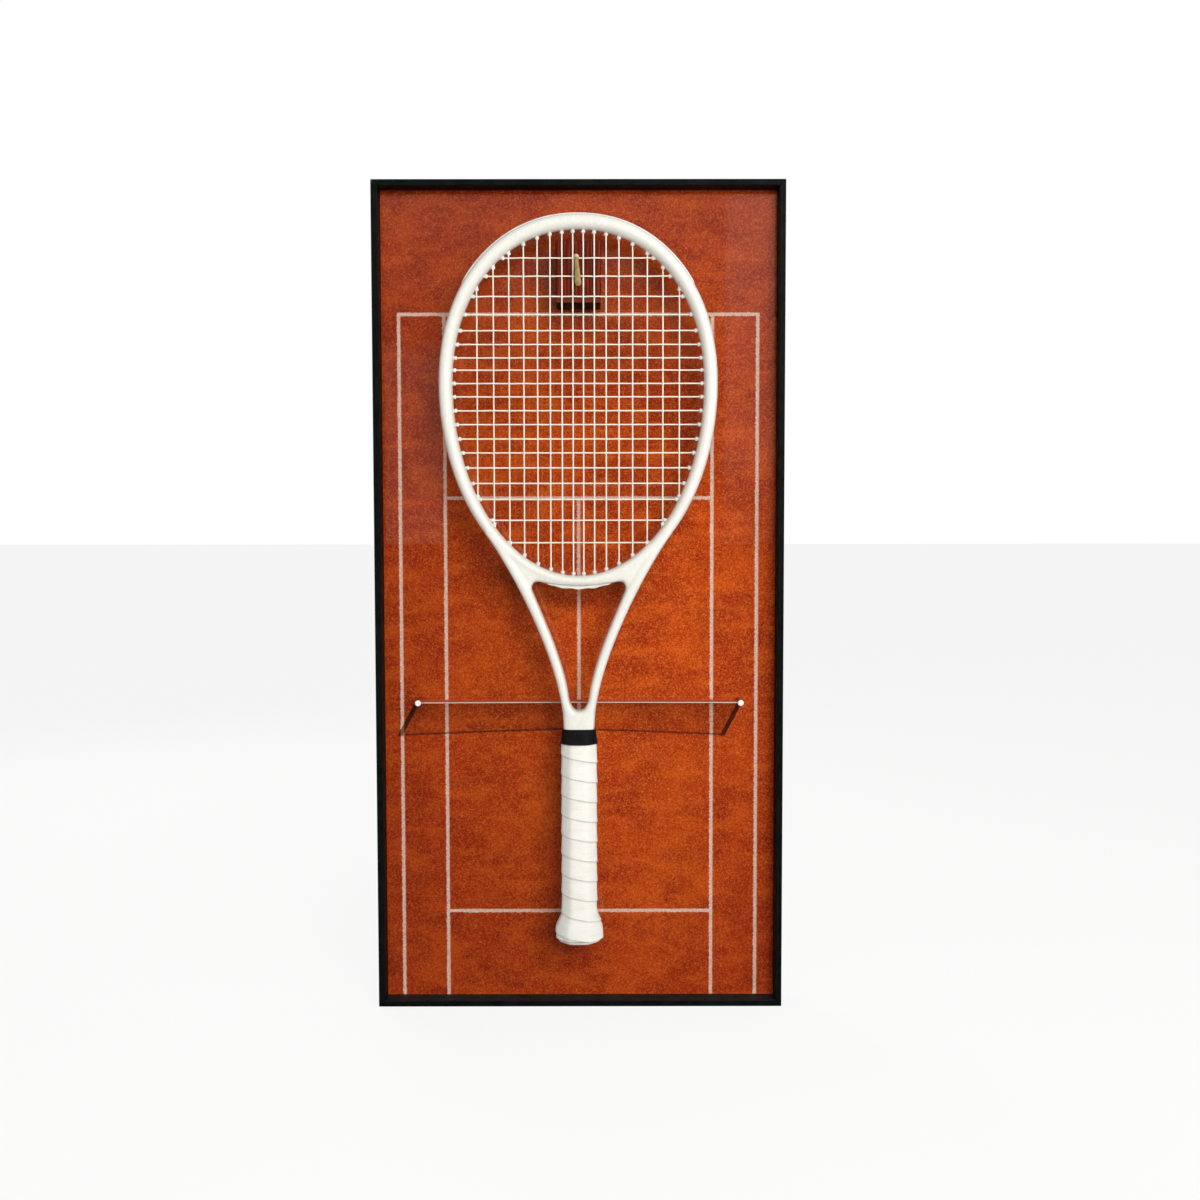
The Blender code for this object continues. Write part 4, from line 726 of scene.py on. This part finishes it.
def cubic(first, first_pull, last, last_pull, count=200):
    """A cubic curve from a point and its pull to another point and its pull."""
    near, far = first + first_pull, last + last_pull
    t = np.linspace(0, 1, count)[:, None]
    return (1 - t) ** 3 * first + 3 * (1 - t) ** 2 * t * near + 3 * (1 - t) * t ** 2 * far + t ** 3 * last


def oval_sweep(outer, inner, half_depth, roundness, sides=36):
    """Carry a superellipse between two edges in the racket's plane.

    Each ring spans from its inner to its outer edge point and half_depth to either side of the plane.
    """
    angle = ring_angles(sides)
    across = signed_power(np.cos(angle), 2 / roundness)
    deep = signed_power(np.sin(angle), 2 / roundness)
    middle, half = (outer + inner) / 2, (outer - inner) / 2
    flat = middle[:, None] + half[:, None] * across[None, :, None]
    depth = np.broadcast_to(half_depth, (len(outer),))[:, None] * deep[None]
    return racket_place(flat[..., 0], depth, flat[..., 1])


def opening_half_width(z):
    """Half width of the head's opening at a height."""
    above = INNER_HALF_WIDTH * (1 - (np.clip(z, 0, INNER_RISE) / INNER_RISE) ** EGG_POWER) ** (1 / EGG_POWER)
    below = INNER_HALF_WIDTH * np.sqrt(1 - (np.clip(z, -INNER_DROP, 0) / INNER_DROP) ** 2)
    return np.where(z >= 0, above, below)


def opening_reach(x):
    """How far the head's opening reaches above and below its widest line at x."""
    share = np.abs(x) / INNER_HALF_WIDTH
    return INNER_RISE * (1 - share ** EGG_POWER) ** (1 / EGG_POWER), -INNER_DROP * np.sqrt(1 - share ** 2)


def bridge_underside(x):
    """Height of the bridge's lower edge: it rises with the square of x up to the throat's corners."""
    return -HEAD_DROP + BRIDGE_ARCH * (x / THROAT_HALF_WIDTH) ** 2


def racket_shells():
    """Hoop, arms, shaft and webs, overlapping shells that the remesh then melts into one.

    Each is an oval sweep. An arm's outer edge is a cubic curve from the hoop to the shaft's side, and
    its inner edge is one from the throat's corner to its foot. Both are read at the same heights.
    """
    around = np.linspace(0, 2 * math.pi, 241)[:-1]
    hoop = oval_sweep(egg(around, HEAD_HALF_WIDTH, HEAD_RISE, HEAD_DROP),
                      egg(around, INNER_HALF_WIDTH, INNER_RISE, INNER_DROP), HALF_DEPTH, 2.1)
    leave = math.asin(0.735)
    start = egg(-leave, HEAD_HALF_WIDTH, HEAD_RISE, HEAD_DROP)
    slope = np.array([-HEAD_HALF_WIDTH * math.sin(leave), -HEAD_DROP * math.cos(leave)])
    slope /= np.linalg.norm(slope)
    end = np.array([SHAFT_HALF_WIDTH, COLLAR_TOP])
    chord = math.dist(start, end)
    outer_edge = cubic(start, slope * chord * 0.2, end, np.array([0, chord * 0.3]))
    corner = np.array([THROAT_HALF_WIDTH, bridge_underside(THROAT_HALF_WIDTH) - CORNER_RADIUS])
    turn_end = math.radians(-22)
    inner_start = corner + CORNER_RADIUS * np.array([math.cos(turn_end), math.sin(turn_end)])
    foot_middle = THROAT_BOTTOM + 9.4
    inner_end = np.array([FOOT_RADIUS, foot_middle])
    chord = math.dist(inner_start, inner_end)
    down = np.array([math.sin(turn_end), -math.cos(turn_end)])
    inner_edge = cubic(inner_start, down * chord * 0.24, inner_end, np.array([chord * 0.03, chord * 0.32]))
    # above the throat's corner the arm dives into the hoop; below its foot it runs past the middle
    above = np.linspace((62, -160), inner_start, 40)[:-1]
    below = np.array([(4.0, THROAT_BOTTOM), (-5.0, THROAT_BOTTOM - 5), (-5.0, COLLAR_TOP)])
    inner_all = np.concatenate([above, inner_edge, below])
    high = np.linspace(start[1] + 10, COLLAR_TOP - 6, 90)
    outer_x = np.interp(-high, -outer_edge[:, 1], outer_edge[:, 0])
    inner_x = np.interp(-high, -inner_all[:, 1], inner_all[:, 0])
    in_hoop = high > -176
    inner_x[in_hoop] = np.maximum(inner_x, opening_half_width(high) + 5)[in_hoop]
    arms = [oval_sweep(flat_points(side * outer_x, high), flat_points(side * inner_x, high), HALF_DEPTH, 2.7)
            for side in (1, -1)]
    shaft_z = np.linspace(THROAT_BOTTOM - 2.0, COLLAR_TOP - 6, 12)
    shaft_x = np.interp(-shaft_z, -outer_edge[:, 1], outer_edge[:, 0])
    shaft = oval_sweep(flat_points(shaft_x, shaft_z), flat_points(-shaft_x, shaft_z), HALF_DEPTH, 4.0)
    # a thinner web closes the throat's top: a shallow arch and a fillet, then it ends inside the arms
    fillet = np.linspace(math.pi / 2, turn_end, 12)
    arch_x = np.linspace(0, THROAT_HALF_WIDTH, 24)
    web_low = np.concatenate([
        flat_points(arch_x, bridge_underside(arch_x)),
        corner + CORNER_RADIUS * flat_points(np.cos(fillet), np.sin(fillet)),
        [(47.0, -189.0), (52.5, -182.0), (58.0, -172.0), (63.0, -160.0)]])
    web_x = np.concatenate([arch_x, np.linspace(38.8, 50.0, 12), [53.0, 56.0, 60.0, 64.0]])
    web_high = flat_points(web_x, opening_reach(web_x)[1])
    mirror = np.array([-1, 1])
    web_low, web_high = (np.concatenate([edge[:0:-1] * mirror, edge]) for edge in (web_low, web_high))
    # another web makes the throat's round foot
    half_turn = np.linspace(math.pi, 0, 25)
    foot_high = flat_points(FOOT_RADIUS * np.cos(half_turn), foot_middle - FOOT_RADIUS * np.sin(half_turn))
    foot_low = flat_points(12.5 * np.cos(half_turn), THROAT_BOTTOM - 8.0)
    web, foot = oval_sweep(web_low, web_high, 9.3, 3.2), oval_sweep(foot_low, foot_high, 10.2, 3.2)
    return [skin(hoop, loop=True)] + [skin(rings) for rings in (*arms, shaft, web, foot)]


def white_composite():
    """Glossy white paint under clear lacquer, faintly uneven, with hairline scuffs in its gloss."""
    material, tree, place = start_material("racket_lacquer")
    tone = speckle(tree, place, 0.03)
    colour = blend_colours(tree, tone, (0.660, 0.650, 0.600), (0.735, 0.727, 0.680))
    scuff = noise(tree, stretched(tree, place, (1.0, 1.0, 0.12), (0, 0.7, 0)), 900.0, 3.0)
    set_shader(tree, {"Base Color": colour, "Roughness": remap(tree, scuff, 0.45, 0.8, 0.20, 0.42),
                      "Coat Weight": 0.6, "Coat Roughness": 0.08}, tone, 0.00006)
    return material


racket = piece("composite_frame", racket_shells(), white_composite(), "racket", smooth=180,
               replaces=("racket_frame",))
melt = racket.modifiers.new("melt", "REMESH")
melt.mode = "VOXEL"
melt.voxel_size = 1.25 * MM
melt.use_smooth_shade = True
ease = racket.modifiers.new("ease", "SMOOTH")
ease.factor = 0.5
ease.iterations = 10


# Bumper guard and grommet strip: moulded white nylon. The guard is let into the crown's outer
# edge against scrapes, and the strip lies under the bridge with the mains passing through it.

nylon = simple_finish("moulded_nylon", (0.62, 0.61, 0.57), (0.74, 0.73, 0.69), 0.004, (0.36, 0.55), 0.00005,
                      dust=0.1)
GUARD_SPREAD = math.radians(55)
STRIP_REACH = 30


def tapered_strip(outer, inner, half_depth, roundness, ends):
    """An oval sweep whose depth swells from nothing at both ends within a share of its length."""
    share = np.linspace(0, 1, len(outer))
    edge = np.clip(np.minimum(share, 1 - share) / ends, 0, 1)
    taper = np.sqrt(np.clip(1 - (1 - edge) ** 2, 0.02, 1))
    return skin(oval_sweep(outer, inner, half_depth * taper, roundness, 24))


crown = np.linspace(math.pi / 2 - GUARD_SPREAD, math.pi / 2 + GUARD_SPREAD, 121)
guard_edges = [egg(crown, HEAD_HALF_WIDTH + out, HEAD_RISE + out, HEAD_DROP + out) for out in (0.5, -1.8)]
piece("crown_guard", [tapered_strip(*guard_edges, 4.9, 5.0, 0.03)], nylon, "racket",
      replaces=("bumper_guard",))

# the strip hangs deepest in its middle, and its lower edge waves a little
strip_x = np.linspace(-STRIP_REACH, STRIP_REACH, 97)
strip_share = strip_x / STRIP_REACH
swell = 0.45 * np.cos(strip_share * 4 * math.pi) * (1 - strip_share ** 4)
strip_low = bridge_underside(strip_x) - 0.8 - 2.2 * (1 - strip_share ** 2) - swell
strip_edges = flat_points(strip_x, strip_low), flat_points(strip_x, bridge_underside(strip_x) + 0.6)
piece("bridge_grommets", [tapered_strip(*strip_edges, 4.5, 3.0, 0.05)], nylon, "racket",
      replaces=("throat_grommet_strip",))


# Strings: sixteen mains and nineteen crosses of round white gut, woven over and under each other.
# Each end runs into the hoop through a short nylon barrel.

STRING_RADIUS = 0.7
WEAVE = 0.52
MAINS_EACH_SIDE = 8
CROSS_STEPS = [40.2, 16.6, 18.5, 16.6, 14.7, 12.7, 12.3, 11.3, 12.3, 12.3, 12.8, 12.8, 13.3, 12.9, 13.9, 14.4,
               14.9, 19.4, 20.9]
BARREL = [(1.5, -1.5), (1.55, 0.5), (1.95, 1.0), (2.0, 2.0), (1.75, 2.6), (1.15, 3.0), (0.75, 3.2)]


def woven_line(ends, crossings, first_sign, steps=5):
    """Places along a string and its offset from the bed's plane.

    The offset is the weave's height at each crossing, of the other sign at the next, and a cosine
    between them. Beyond the outer crossings it fades to nothing at the hoop.
    """
    low, high = ends
    knots = np.concatenate([[low], crossings, [high]])
    signs = first_sign * (-1.0) ** np.arange(len(crossings))
    heights = np.concatenate([[0], signs * WEAVE, [0]])
    t = np.linspace(0, 1, steps + 1)[:-1]
    along = (knots[:-1, None] + np.diff(knots)[:, None] * t).ravel()
    ease_t = (1 - np.cos(math.pi * t)) / 2
    off = (heights[:-1, None] + np.diff(heights)[:, None] * ease_t).ravel()
    return np.append(along, high), np.append(off, 0.0)


def gut_string():
    """Pale cream gut under a thin gloss, with a tight twist in its height."""
    material, tree, place = start_material("cream_gut")
    tone = speckle(tree, place, 0.005)
    twist = node(tree, "TexWave", {"Vector": place, "Scale": 650.0}, bands_direction="DIAGONAL")
    colour = blend_colours(tree, tone, (0.69, 0.635, 0.530), (0.81, 0.770, 0.675))
    set_shader(tree, {"Base Color": colour, "Roughness": remap(tree, tone, 0.35, 0.65, 0.25, 0.4),
                      "Coat Weight": 0.25}, twist.outputs["Fac"], 0.00004)
    return material


def string_shell(x, y, z):
    """A round string along these places of the racket's own measure."""
    return skin(tube(racket_place(x, y, z), STRING_RADIUS * MM, 8, (0, 1, 0)))


def barrel_shell(x, z, way_x, way_z):
    """A short tapered barrel that stands out of the hoop round a string's end, towards the strings."""
    return skin(turned(np.array(BARREL) * MM, 12, racket_place(x, 0, z), (way_x, 0.0, way_z), (0, 1, 0)))


# the gaps between the mains widen evenly from the middle outwards
main_half = 4.85 + np.concatenate([[0], np.cumsum(10.1 + 0.87 * np.arange(MAINS_EACH_SIDE - 1))])
main_x = np.sort(np.concatenate([-main_half, main_half]))
cross_z = HEAD_RISE - np.cumsum(CROSS_STEPS)
strings, barrels = [], []
for number, x in enumerate(main_x):
    top, bottom = opening_reach(x)
    crossed = cross_z[(cross_z < top) & (cross_z > bottom)][::-1]
    lowest = len(cross_z) - np.searchsorted(cross_z[::-1], bottom) - 1
    sign = 1.0 if (number + lowest) % 2 else -1.0
    z, y = woven_line((bottom - 5, top + 5), crossed, sign)
    strings.append(string_shell(x, y, z))
    barrels += [barrel_shell(x, top, 0, -1), barrel_shell(x, bottom, 0, 1)]
for number, z in enumerate(cross_z):
    reach = float(opening_half_width(z))
    inside = np.abs(main_x) < reach
    sign = -1.0 if (np.argmax(inside) + number) % 2 else 1.0
    x, y = woven_line((-reach - 5, reach + 5), main_x[inside], sign)
    strings.append(string_shell(x, y, z))
    barrels += [barrel_shell(reach, z, -1, 0), barrel_shell(-reach, z, 1, 0)]
piece("woven_strings", strings, gut_string(), "racket", smooth=80, replaces=("string_bed",))
piece("string_barrels", barrels, nylon, "racket", smooth=50)


# Handle: the moulded foam pallet on the frame's core, eight-sided, and the nylon butt cap that
# flares below it. Both lie under the tape. The cap's end shows from below, with its little door.

PALLET = (15.2, 13.4)
BUTT_CAP_TOP = BUTT_END + 30
FLARE = 20.8
CAP_ROUND = 5


def grip_swell(z):
    """How much wider than the pallet the handle is: 1, easing to the flare near the butt."""
    share = np.clip((BUTT_CAP_TOP - z) / (BUTT_CAP_TOP - BUTT_END - 12), 0, 1)
    return 1 + (FLARE / PALLET[0] - 1) * share * share * (3 - 2 * share)


def eight_sided(angle, half_x, half_y, softness=16.0):
    """Radius of a soft eight-sided section at an angle.

    Each side k asks for radius reach / cos(angle - side), where reach is the ellipse's own half
    size in that direction. The answer is the least of them, blurred by a power of the softness.
    """
    side = np.arange(8) * math.pi / 4
    reach = np.sqrt((half_x * np.cos(side)) ** 2 + (half_y * np.sin(side)) ** 2)
    lean = np.cos(angle[..., None] - side)
    wanted = np.clip(lean, 0, None) / reach
    return (wanted ** softness).sum(-1) ** (-1 / softness)


def handle_point(angle, z, out):
    """A point of the handle's surface, moved out from the pallet by a distance."""
    swell = grip_swell(z)
    radius = eight_sided(angle, *PALLET) * swell + out
    return racket_place(radius * np.cos(angle), radius * np.sin(angle), z)


finish_node("handle_pallet", simple_finish("pallet_foam", (0.20, 0.20, 0.20), (0.30, 0.30, 0.30), 0.004,
                                           (0.6, 0.8), 0.0001))
# down the side, round the lower edge, then a floor of rings that shrink to the little door and step in
edge_turn = np.linspace(0, math.pi / 2, 8)[1:]
cap_z = np.concatenate([np.linspace(BUTT_CAP_TOP, BUTT_END + CAP_ROUND, 16),
                        BUTT_END + CAP_ROUND * (1 - np.sin(edge_turn))])
cap_in = np.concatenate([np.zeros(16), 4.2 * (1 - np.cos(edge_turn))])
cap_rings = handle_point(ring_angles(96)[None], cap_z[:, None], -cap_in[:, None] - 0.05)
floor_out = np.array([0.80, 0.78, 0.5, 0.46, 0.2])[:, None, None]
floor_rise = np.array([0.0, 1.2, 1.2, 0.7, 0.7])[:, None, None] * MM * np.array([0, 0, 1])
butt_middle = racket_place(0, 0, BUTT_END)
cap_floor = butt_middle + (cap_rings[-1] - butt_middle)[None] * floor_out + floor_rise
piece("flared_cap", [skin(np.concatenate([cap_rings, cap_floor]))], nylon, "racket",
      replaces=("butt_cap",))


# Overgrip: one long band of soft white tape, wound from the butt up in a helix. Each turn's lower
# edge laps over the turn below it, and the band is stretched smooth round the eight sides.

TAPE_PITCH = 18.8
TAPE_START = 0.4
TAPE_LOWER_EDGE = 19.1


def tape_shell():
    """A closed band section carried along a helix round the handle.

    The section is listed as (drop along the handle, distance out from the pallet). One turn of the
    angle lowers it by the pitch. Both ends are levelled by holding the height within the grip.
    """
    bottom = BUTT_END + 4.2
    section = np.array([
        (-6.0, 0.4), (-12.0, 0.55), (-17.4, 1.15), (-19.0, 1.28), (-TAPE_LOWER_EDGE, 1.55), (-18.95, 1.86),
        (-18.5, 2.02), (-17.6, 1.98), (-15.5, 1.82), (-12.0, 1.62), (-8.0, 1.45), (-4.0, 1.32), (0.0, 1.22),
        (1.2, 1.05), (1.0, 0.35)])
    per_turn = 96
    turns = (GRIP_TOP - bottom) / TAPE_PITCH + 1.2
    step = np.arange(int(turns * per_turn) + 1)[:, None]
    angle = step * 2 * math.pi / per_turn + TAPE_START
    middle = GRIP_TOP + TAPE_PITCH * 0.95 - TAPE_PITCH * step / per_turn
    z = np.clip(middle + section[:, 0], bottom, GRIP_TOP - 0.15)
    return skin(handle_point(angle, z, section[:, 1]))


def soft_tape():
    """Matt white tape: a fine pebble, soft creases across it, darker where the creases sink, and a painted
    shadow under each turn's lapped edge.
    """
    material, tree, place = start_material("grip_tape")
    work = arithmetic(tree)
    pebble = node(tree, "TexVoronoi", {"Vector": place, "Scale": 1300.0}).outputs["Distance"]
    crease = noise(tree, stretched(tree, place, (0.35, 0.35, 1.6), (0, 0.15, 0)), 130.0, 4.0)
    colour = blend_colours(tree, speckle(tree, place, 0.02), (0.69, 0.682, 0.630), (0.78, 0.775, 0.735))
    colour = overlay(tree, colour, crease, (0.3, 0.3), (0.5, 0.0), (0.58, 0.555, 0.50))
    # how far below an edge a point lies, in turns: the edge sinks by one pitch in a turn
    axes = node(tree, "SeparateXYZ", {0: place}).outputs
    turn = work("DIVIDE", work("ARCTAN2", work("SUBTRACT", axes["Y"], RACKET[1]), axes["X"]), 2 * math.pi)
    start_edge = RACKET[2] / MM + GRIP_TOP + TAPE_PITCH * (0.95 + TAPE_START / (2 * math.pi)) - TAPE_LOWER_EDGE
    below = work("SUBTRACT", start_edge / TAPE_PITCH, turn)
    below = work("SUBTRACT", below, work("DIVIDE", axes["Z"], TAPE_PITCH * MM))
    below = work("FRACT", work("ADD", below, 0.03))
    # painted shadow under each turn's lapped edge: darkest just below the edge, fading down the next turn
    painted_seam_shadow = ramp(tree, below, [(0.0, 0.0), (0.028, 0.62), (0.06, 0.30), (0.13, 0.0)])
    colour = blend_colours(tree, painted_seam_shadow, colour, (0.30, 0.28, 0.235))
    set_shader(tree, {"Base Color": colour, "Roughness": 0.62, "Sheen Weight": 0.25},
               work("ADD", crease, pebble), 0.00022)
    return material


piece("wound_overgrip", [tape_shell()], soft_tape(), "racket", smooth=60, replaces=("overgrip",))


# Collar: a black rubber sleeve rolled over the end of the tape. It fits the boxy shaft at its top,
# spreads to the eight-sided grip and has a thin rolled lip at both ends.

def collar_shell():
    """Rings from the shaft's rounded box to the grip's eight sides, the blend easing down the sleeve.

    Each ring has its share of the way down and how far it stands out, which makes the lips.
    """
    angle = ring_angles(96)
    share = np.concatenate([[0.0, 0.0, 0.015, 0.05], np.linspace(0.12, 0.93, 14),
                            [0.96, 0.985, 1.0, 1.0, 0.6]])
    out = np.concatenate([[-0.6, 0.0, 0.3, 0.35], np.full(14, 0.3), [0.7, 0.8, 0.6, -0.4, -0.9]])
    z = COLLAR_TOP - share * (COLLAR_TOP - GRIP_TOP - 0.2)
    box_x, box_y, power = SHAFT_HALF_WIDTH + 0.5, HALF_DEPTH + 0.5, 4.0
    box = ((np.abs(np.cos(angle)) / box_x) ** power + (np.abs(np.sin(angle)) / box_y) ** power) ** (-1 / power)
    grip = eight_sided(angle, *PALLET) + 1.9
    ease_down = np.clip(share / 0.95, 0, 1)[:, None] ** 0.85
    radius = box * (1 - ease_down) + grip * ease_down + out[:, None]
    return skin(racket_place(radius * np.cos(angle), radius * np.sin(angle), z[:, None]))


rubber = simple_finish("collar_rubber", (0.0022, 0.0022, 0.0025), (0.006, 0.006, 0.0066), 0.003,
                       (0.40, 0.60), 0.00012, dust=0.03, level=0.12)
piece("rubber_collar", [collar_shell()], rubber, "racket", smooth=50, replaces=("grip_collar",))


# Studio: a plain pale floor under the tray and an even sky, with two soft window lamps and a gloss
# box at the front right and a weak fill behind. The camera stands where the photograph was taken.

FLOOR_REACH = 30
IMAGE_SIZE, FOCAL = 1200, 1307.42

floor_z = cad_box[0][2] - 0.0002
floor_mesh = bpy.data.meshes.new("floor")
corners = [(x * FLOOR_REACH, y * FLOOR_REACH, floor_z) for x, y in ((-1, -1), (1, -1), (1, 1), (-1, 1))]
floor_mesh.from_pydata(corners, [], [(0, 1, 2, 3)])
floor = bpy.data.objects.new("floor", floor_mesh)
bpy.context.scene.collection.objects.link(floor)


def pale_floor():
    """Pale grey-white, mostly white to the camera, which still sees some of the shadow, and dim in mirrors."""
    material, tree, place = start_material("pale_floor")
    work = arithmetic(tree)
    shader = set_shader(tree, {"Base Color": (0.86, 0.86, 0.855, 1), "Roughness": 0.9,
                               "Specular IOR Level": 0.1})
    white = node(tree, "Emission", {"Color": (1, 1, 1, 1), "Strength": 1.0})
    dim = node(tree, "Emission", {"Color": (0.9, 0.95, 1.0, 1), "Strength": 0.04})
    path = node(tree, "LightPath").outputs
    share = work("MULTIPLY", path["Is Camera Ray"], 0.85)
    either = node(tree, "MixShader", {0: share, 1: shader.outputs[0], 2: white.outputs[0]})
    mirrored = node(tree, "MixShader", {0: path["Is Glossy Ray"], 1: either.outputs[0], 2: dim.outputs[0]})
    tree.links.new(mirrored.outputs[0], tree.nodes["Material Output"].inputs["Surface"])
    return material


floor_mesh.materials.append(pale_floor())


def studio_sky():
    """An even soft sky. Seen straight or through the acrylic it is white.

    In reflections it is white too, but dim behind the camera, where the room is dark, with a soft
    box standing on either side there.
    """
    world = bpy.data.worlds.new("studio_sky")
    world.use_nodes = True
    bpy.context.scene.world = world
    sky = world.node_tree
    work = arithmetic(sky)
    lit = sky.nodes["Background"]
    lit.inputs["Color"].default_value = (1.0, 0.99, 0.97, 1)
    lit.inputs["Strength"].default_value = 0.42
    way = node(sky, "SeparateXYZ", {0: node(sky, "TexCoord").outputs["Generated"]}).outputs
    room = remap(sky, way["Y"], -0.90, -0.60, 0.03, 1.0)
    wall = remap(sky, way["Z"], 0.10, 0.24, 0.0, 0.22)
    box_right = work("MULTIPLY", remap(sky, way["X"], 0.085, 0.090, 0.0, 0.24),
                     remap(sky, way["Z"], 0.02, 0.05, 0.4, 1.0))
    box_left = work("MULTIPLY", remap(sky, way["X"], -0.122, -0.126, 0.0, 0.20),
                    remap(sky, way["Z"], -0.055, -0.045))
    box_left = work("MULTIPLY", box_left, remap(sky, way["Z"], 0.14, 0.12))
    boxes = work("ADD", work("ADD", box_right, box_left), wall)
    boxes = work("MULTIPLY", boxes, work("LESS_THAN", way["Y"], -0.5))
    mirrored = work("ADD", room, boxes, clamp=True)
    path = node(sky, "LightPath").outputs
    strength = node(sky, "Mix", {0: path["Is Glossy Ray"], 2: 1.0, 3: mirrored}, data_type="FLOAT").outputs[0]
    seen = node(sky, "Background", {"Color": (1, 1, 1, 1), "Strength": strength})
    shown = work("MAXIMUM", path["Is Camera Ray"], path["Is Glossy Ray"])
    shown = work("MAXIMUM", shown, path["Is Transmission Ray"])
    shown = work("MULTIPLY", shown, work("LESS_THAN", path["Diffuse Depth"], 0.5))
    both = node(sky, "MixShader", {0: shown, 1: lit.outputs[0], 2: seen.outputs[0]})
    sky.links.new(both.outputs[0], sky.nodes["World Output"].inputs["Surface"])


studio_sky()


def soft_lamp(name, towards, far, size, strength, colour, glossy=True, diffuse=True):
    """A round soft lamp that looks at the object's middle from a direction, at a distance."""
    data = bpy.data.lights.new(name, "AREA")
    data.shape = "DISK"
    data.size = size
    data.energy = strength * math.pi * far ** 2
    data.color = colour
    made = bpy.data.objects.new(name, data)
    bpy.context.scene.collection.objects.link(made)
    away = Vector(towards).normalized()
    made.location = Vector((0, -0.03, -0.39)) + away * far
    made.rotation_mode = "QUATERNION"
    made.rotation_quaternion = away.to_track_quat("Z", "Y")
    made.visible_camera = False
    made.visible_transmission = False
    made.visible_glossy = glossy
    made.visible_diffuse = diffuse


soft_lamp("window_front", (0.31, -1.0, 0.34), 1.9, 1.26, 2.62, (1.0, 0.985, 0.96), glossy=False)
soft_lamp("window_side", (1.0, -0.7, 0.15), 2.0, 0.9, 0.62, (1.0, 0.985, 0.96), glossy=False)
soft_lamp("gloss_box", (0.62, -0.80, 0.62), 1.6, 0.55, 0.6, (1.0, 1.0, 1.0), diffuse=False)
soft_lamp("back_fill", (-0.45, 0.75, 0.5), 1.8, 1.0, 0.9, (1.0, 1.0, 1.0))

# the camera looks along +Y, then is turned, tilted down and rolled a little
pitch, yaw, roll = math.radians(3.103), math.radians(-0.07), math.radians(-0.061)
right = Vector((math.cos(yaw), math.sin(yaw), 0))
ahead = Vector((-math.sin(yaw), math.cos(yaw), 0))
up = Vector((0, 0, 1))
ahead, up = ahead * math.cos(pitch) - up * math.sin(pitch), ahead * math.sin(pitch) + up * math.cos(pitch)
right, up = right * math.cos(roll) + up * math.sin(roll), -right * math.sin(roll) + up * math.cos(roll)
camera_data = bpy.data.cameras.new("camera")
camera_data.sensor_width = 36
camera_data.lens = FOCAL * 36 / IMAGE_SIZE
camera_data.shift_x = -9.15 / IMAGE_SIZE
camera_data.shift_y = -4.52 / IMAGE_SIZE
camera = bpy.data.objects.new("camera", camera_data)
facing = Matrix((right, up, -ahead)).transposed().to_4x4()
camera.matrix_world = Matrix.Translation((0.02697, -1.2781, -0.31351)) @ facing
bpy.context.scene.collection.objects.link(camera)
bpy.context.scene.camera = camera
bpy.context.scene.view_settings.view_transform = "Standard"
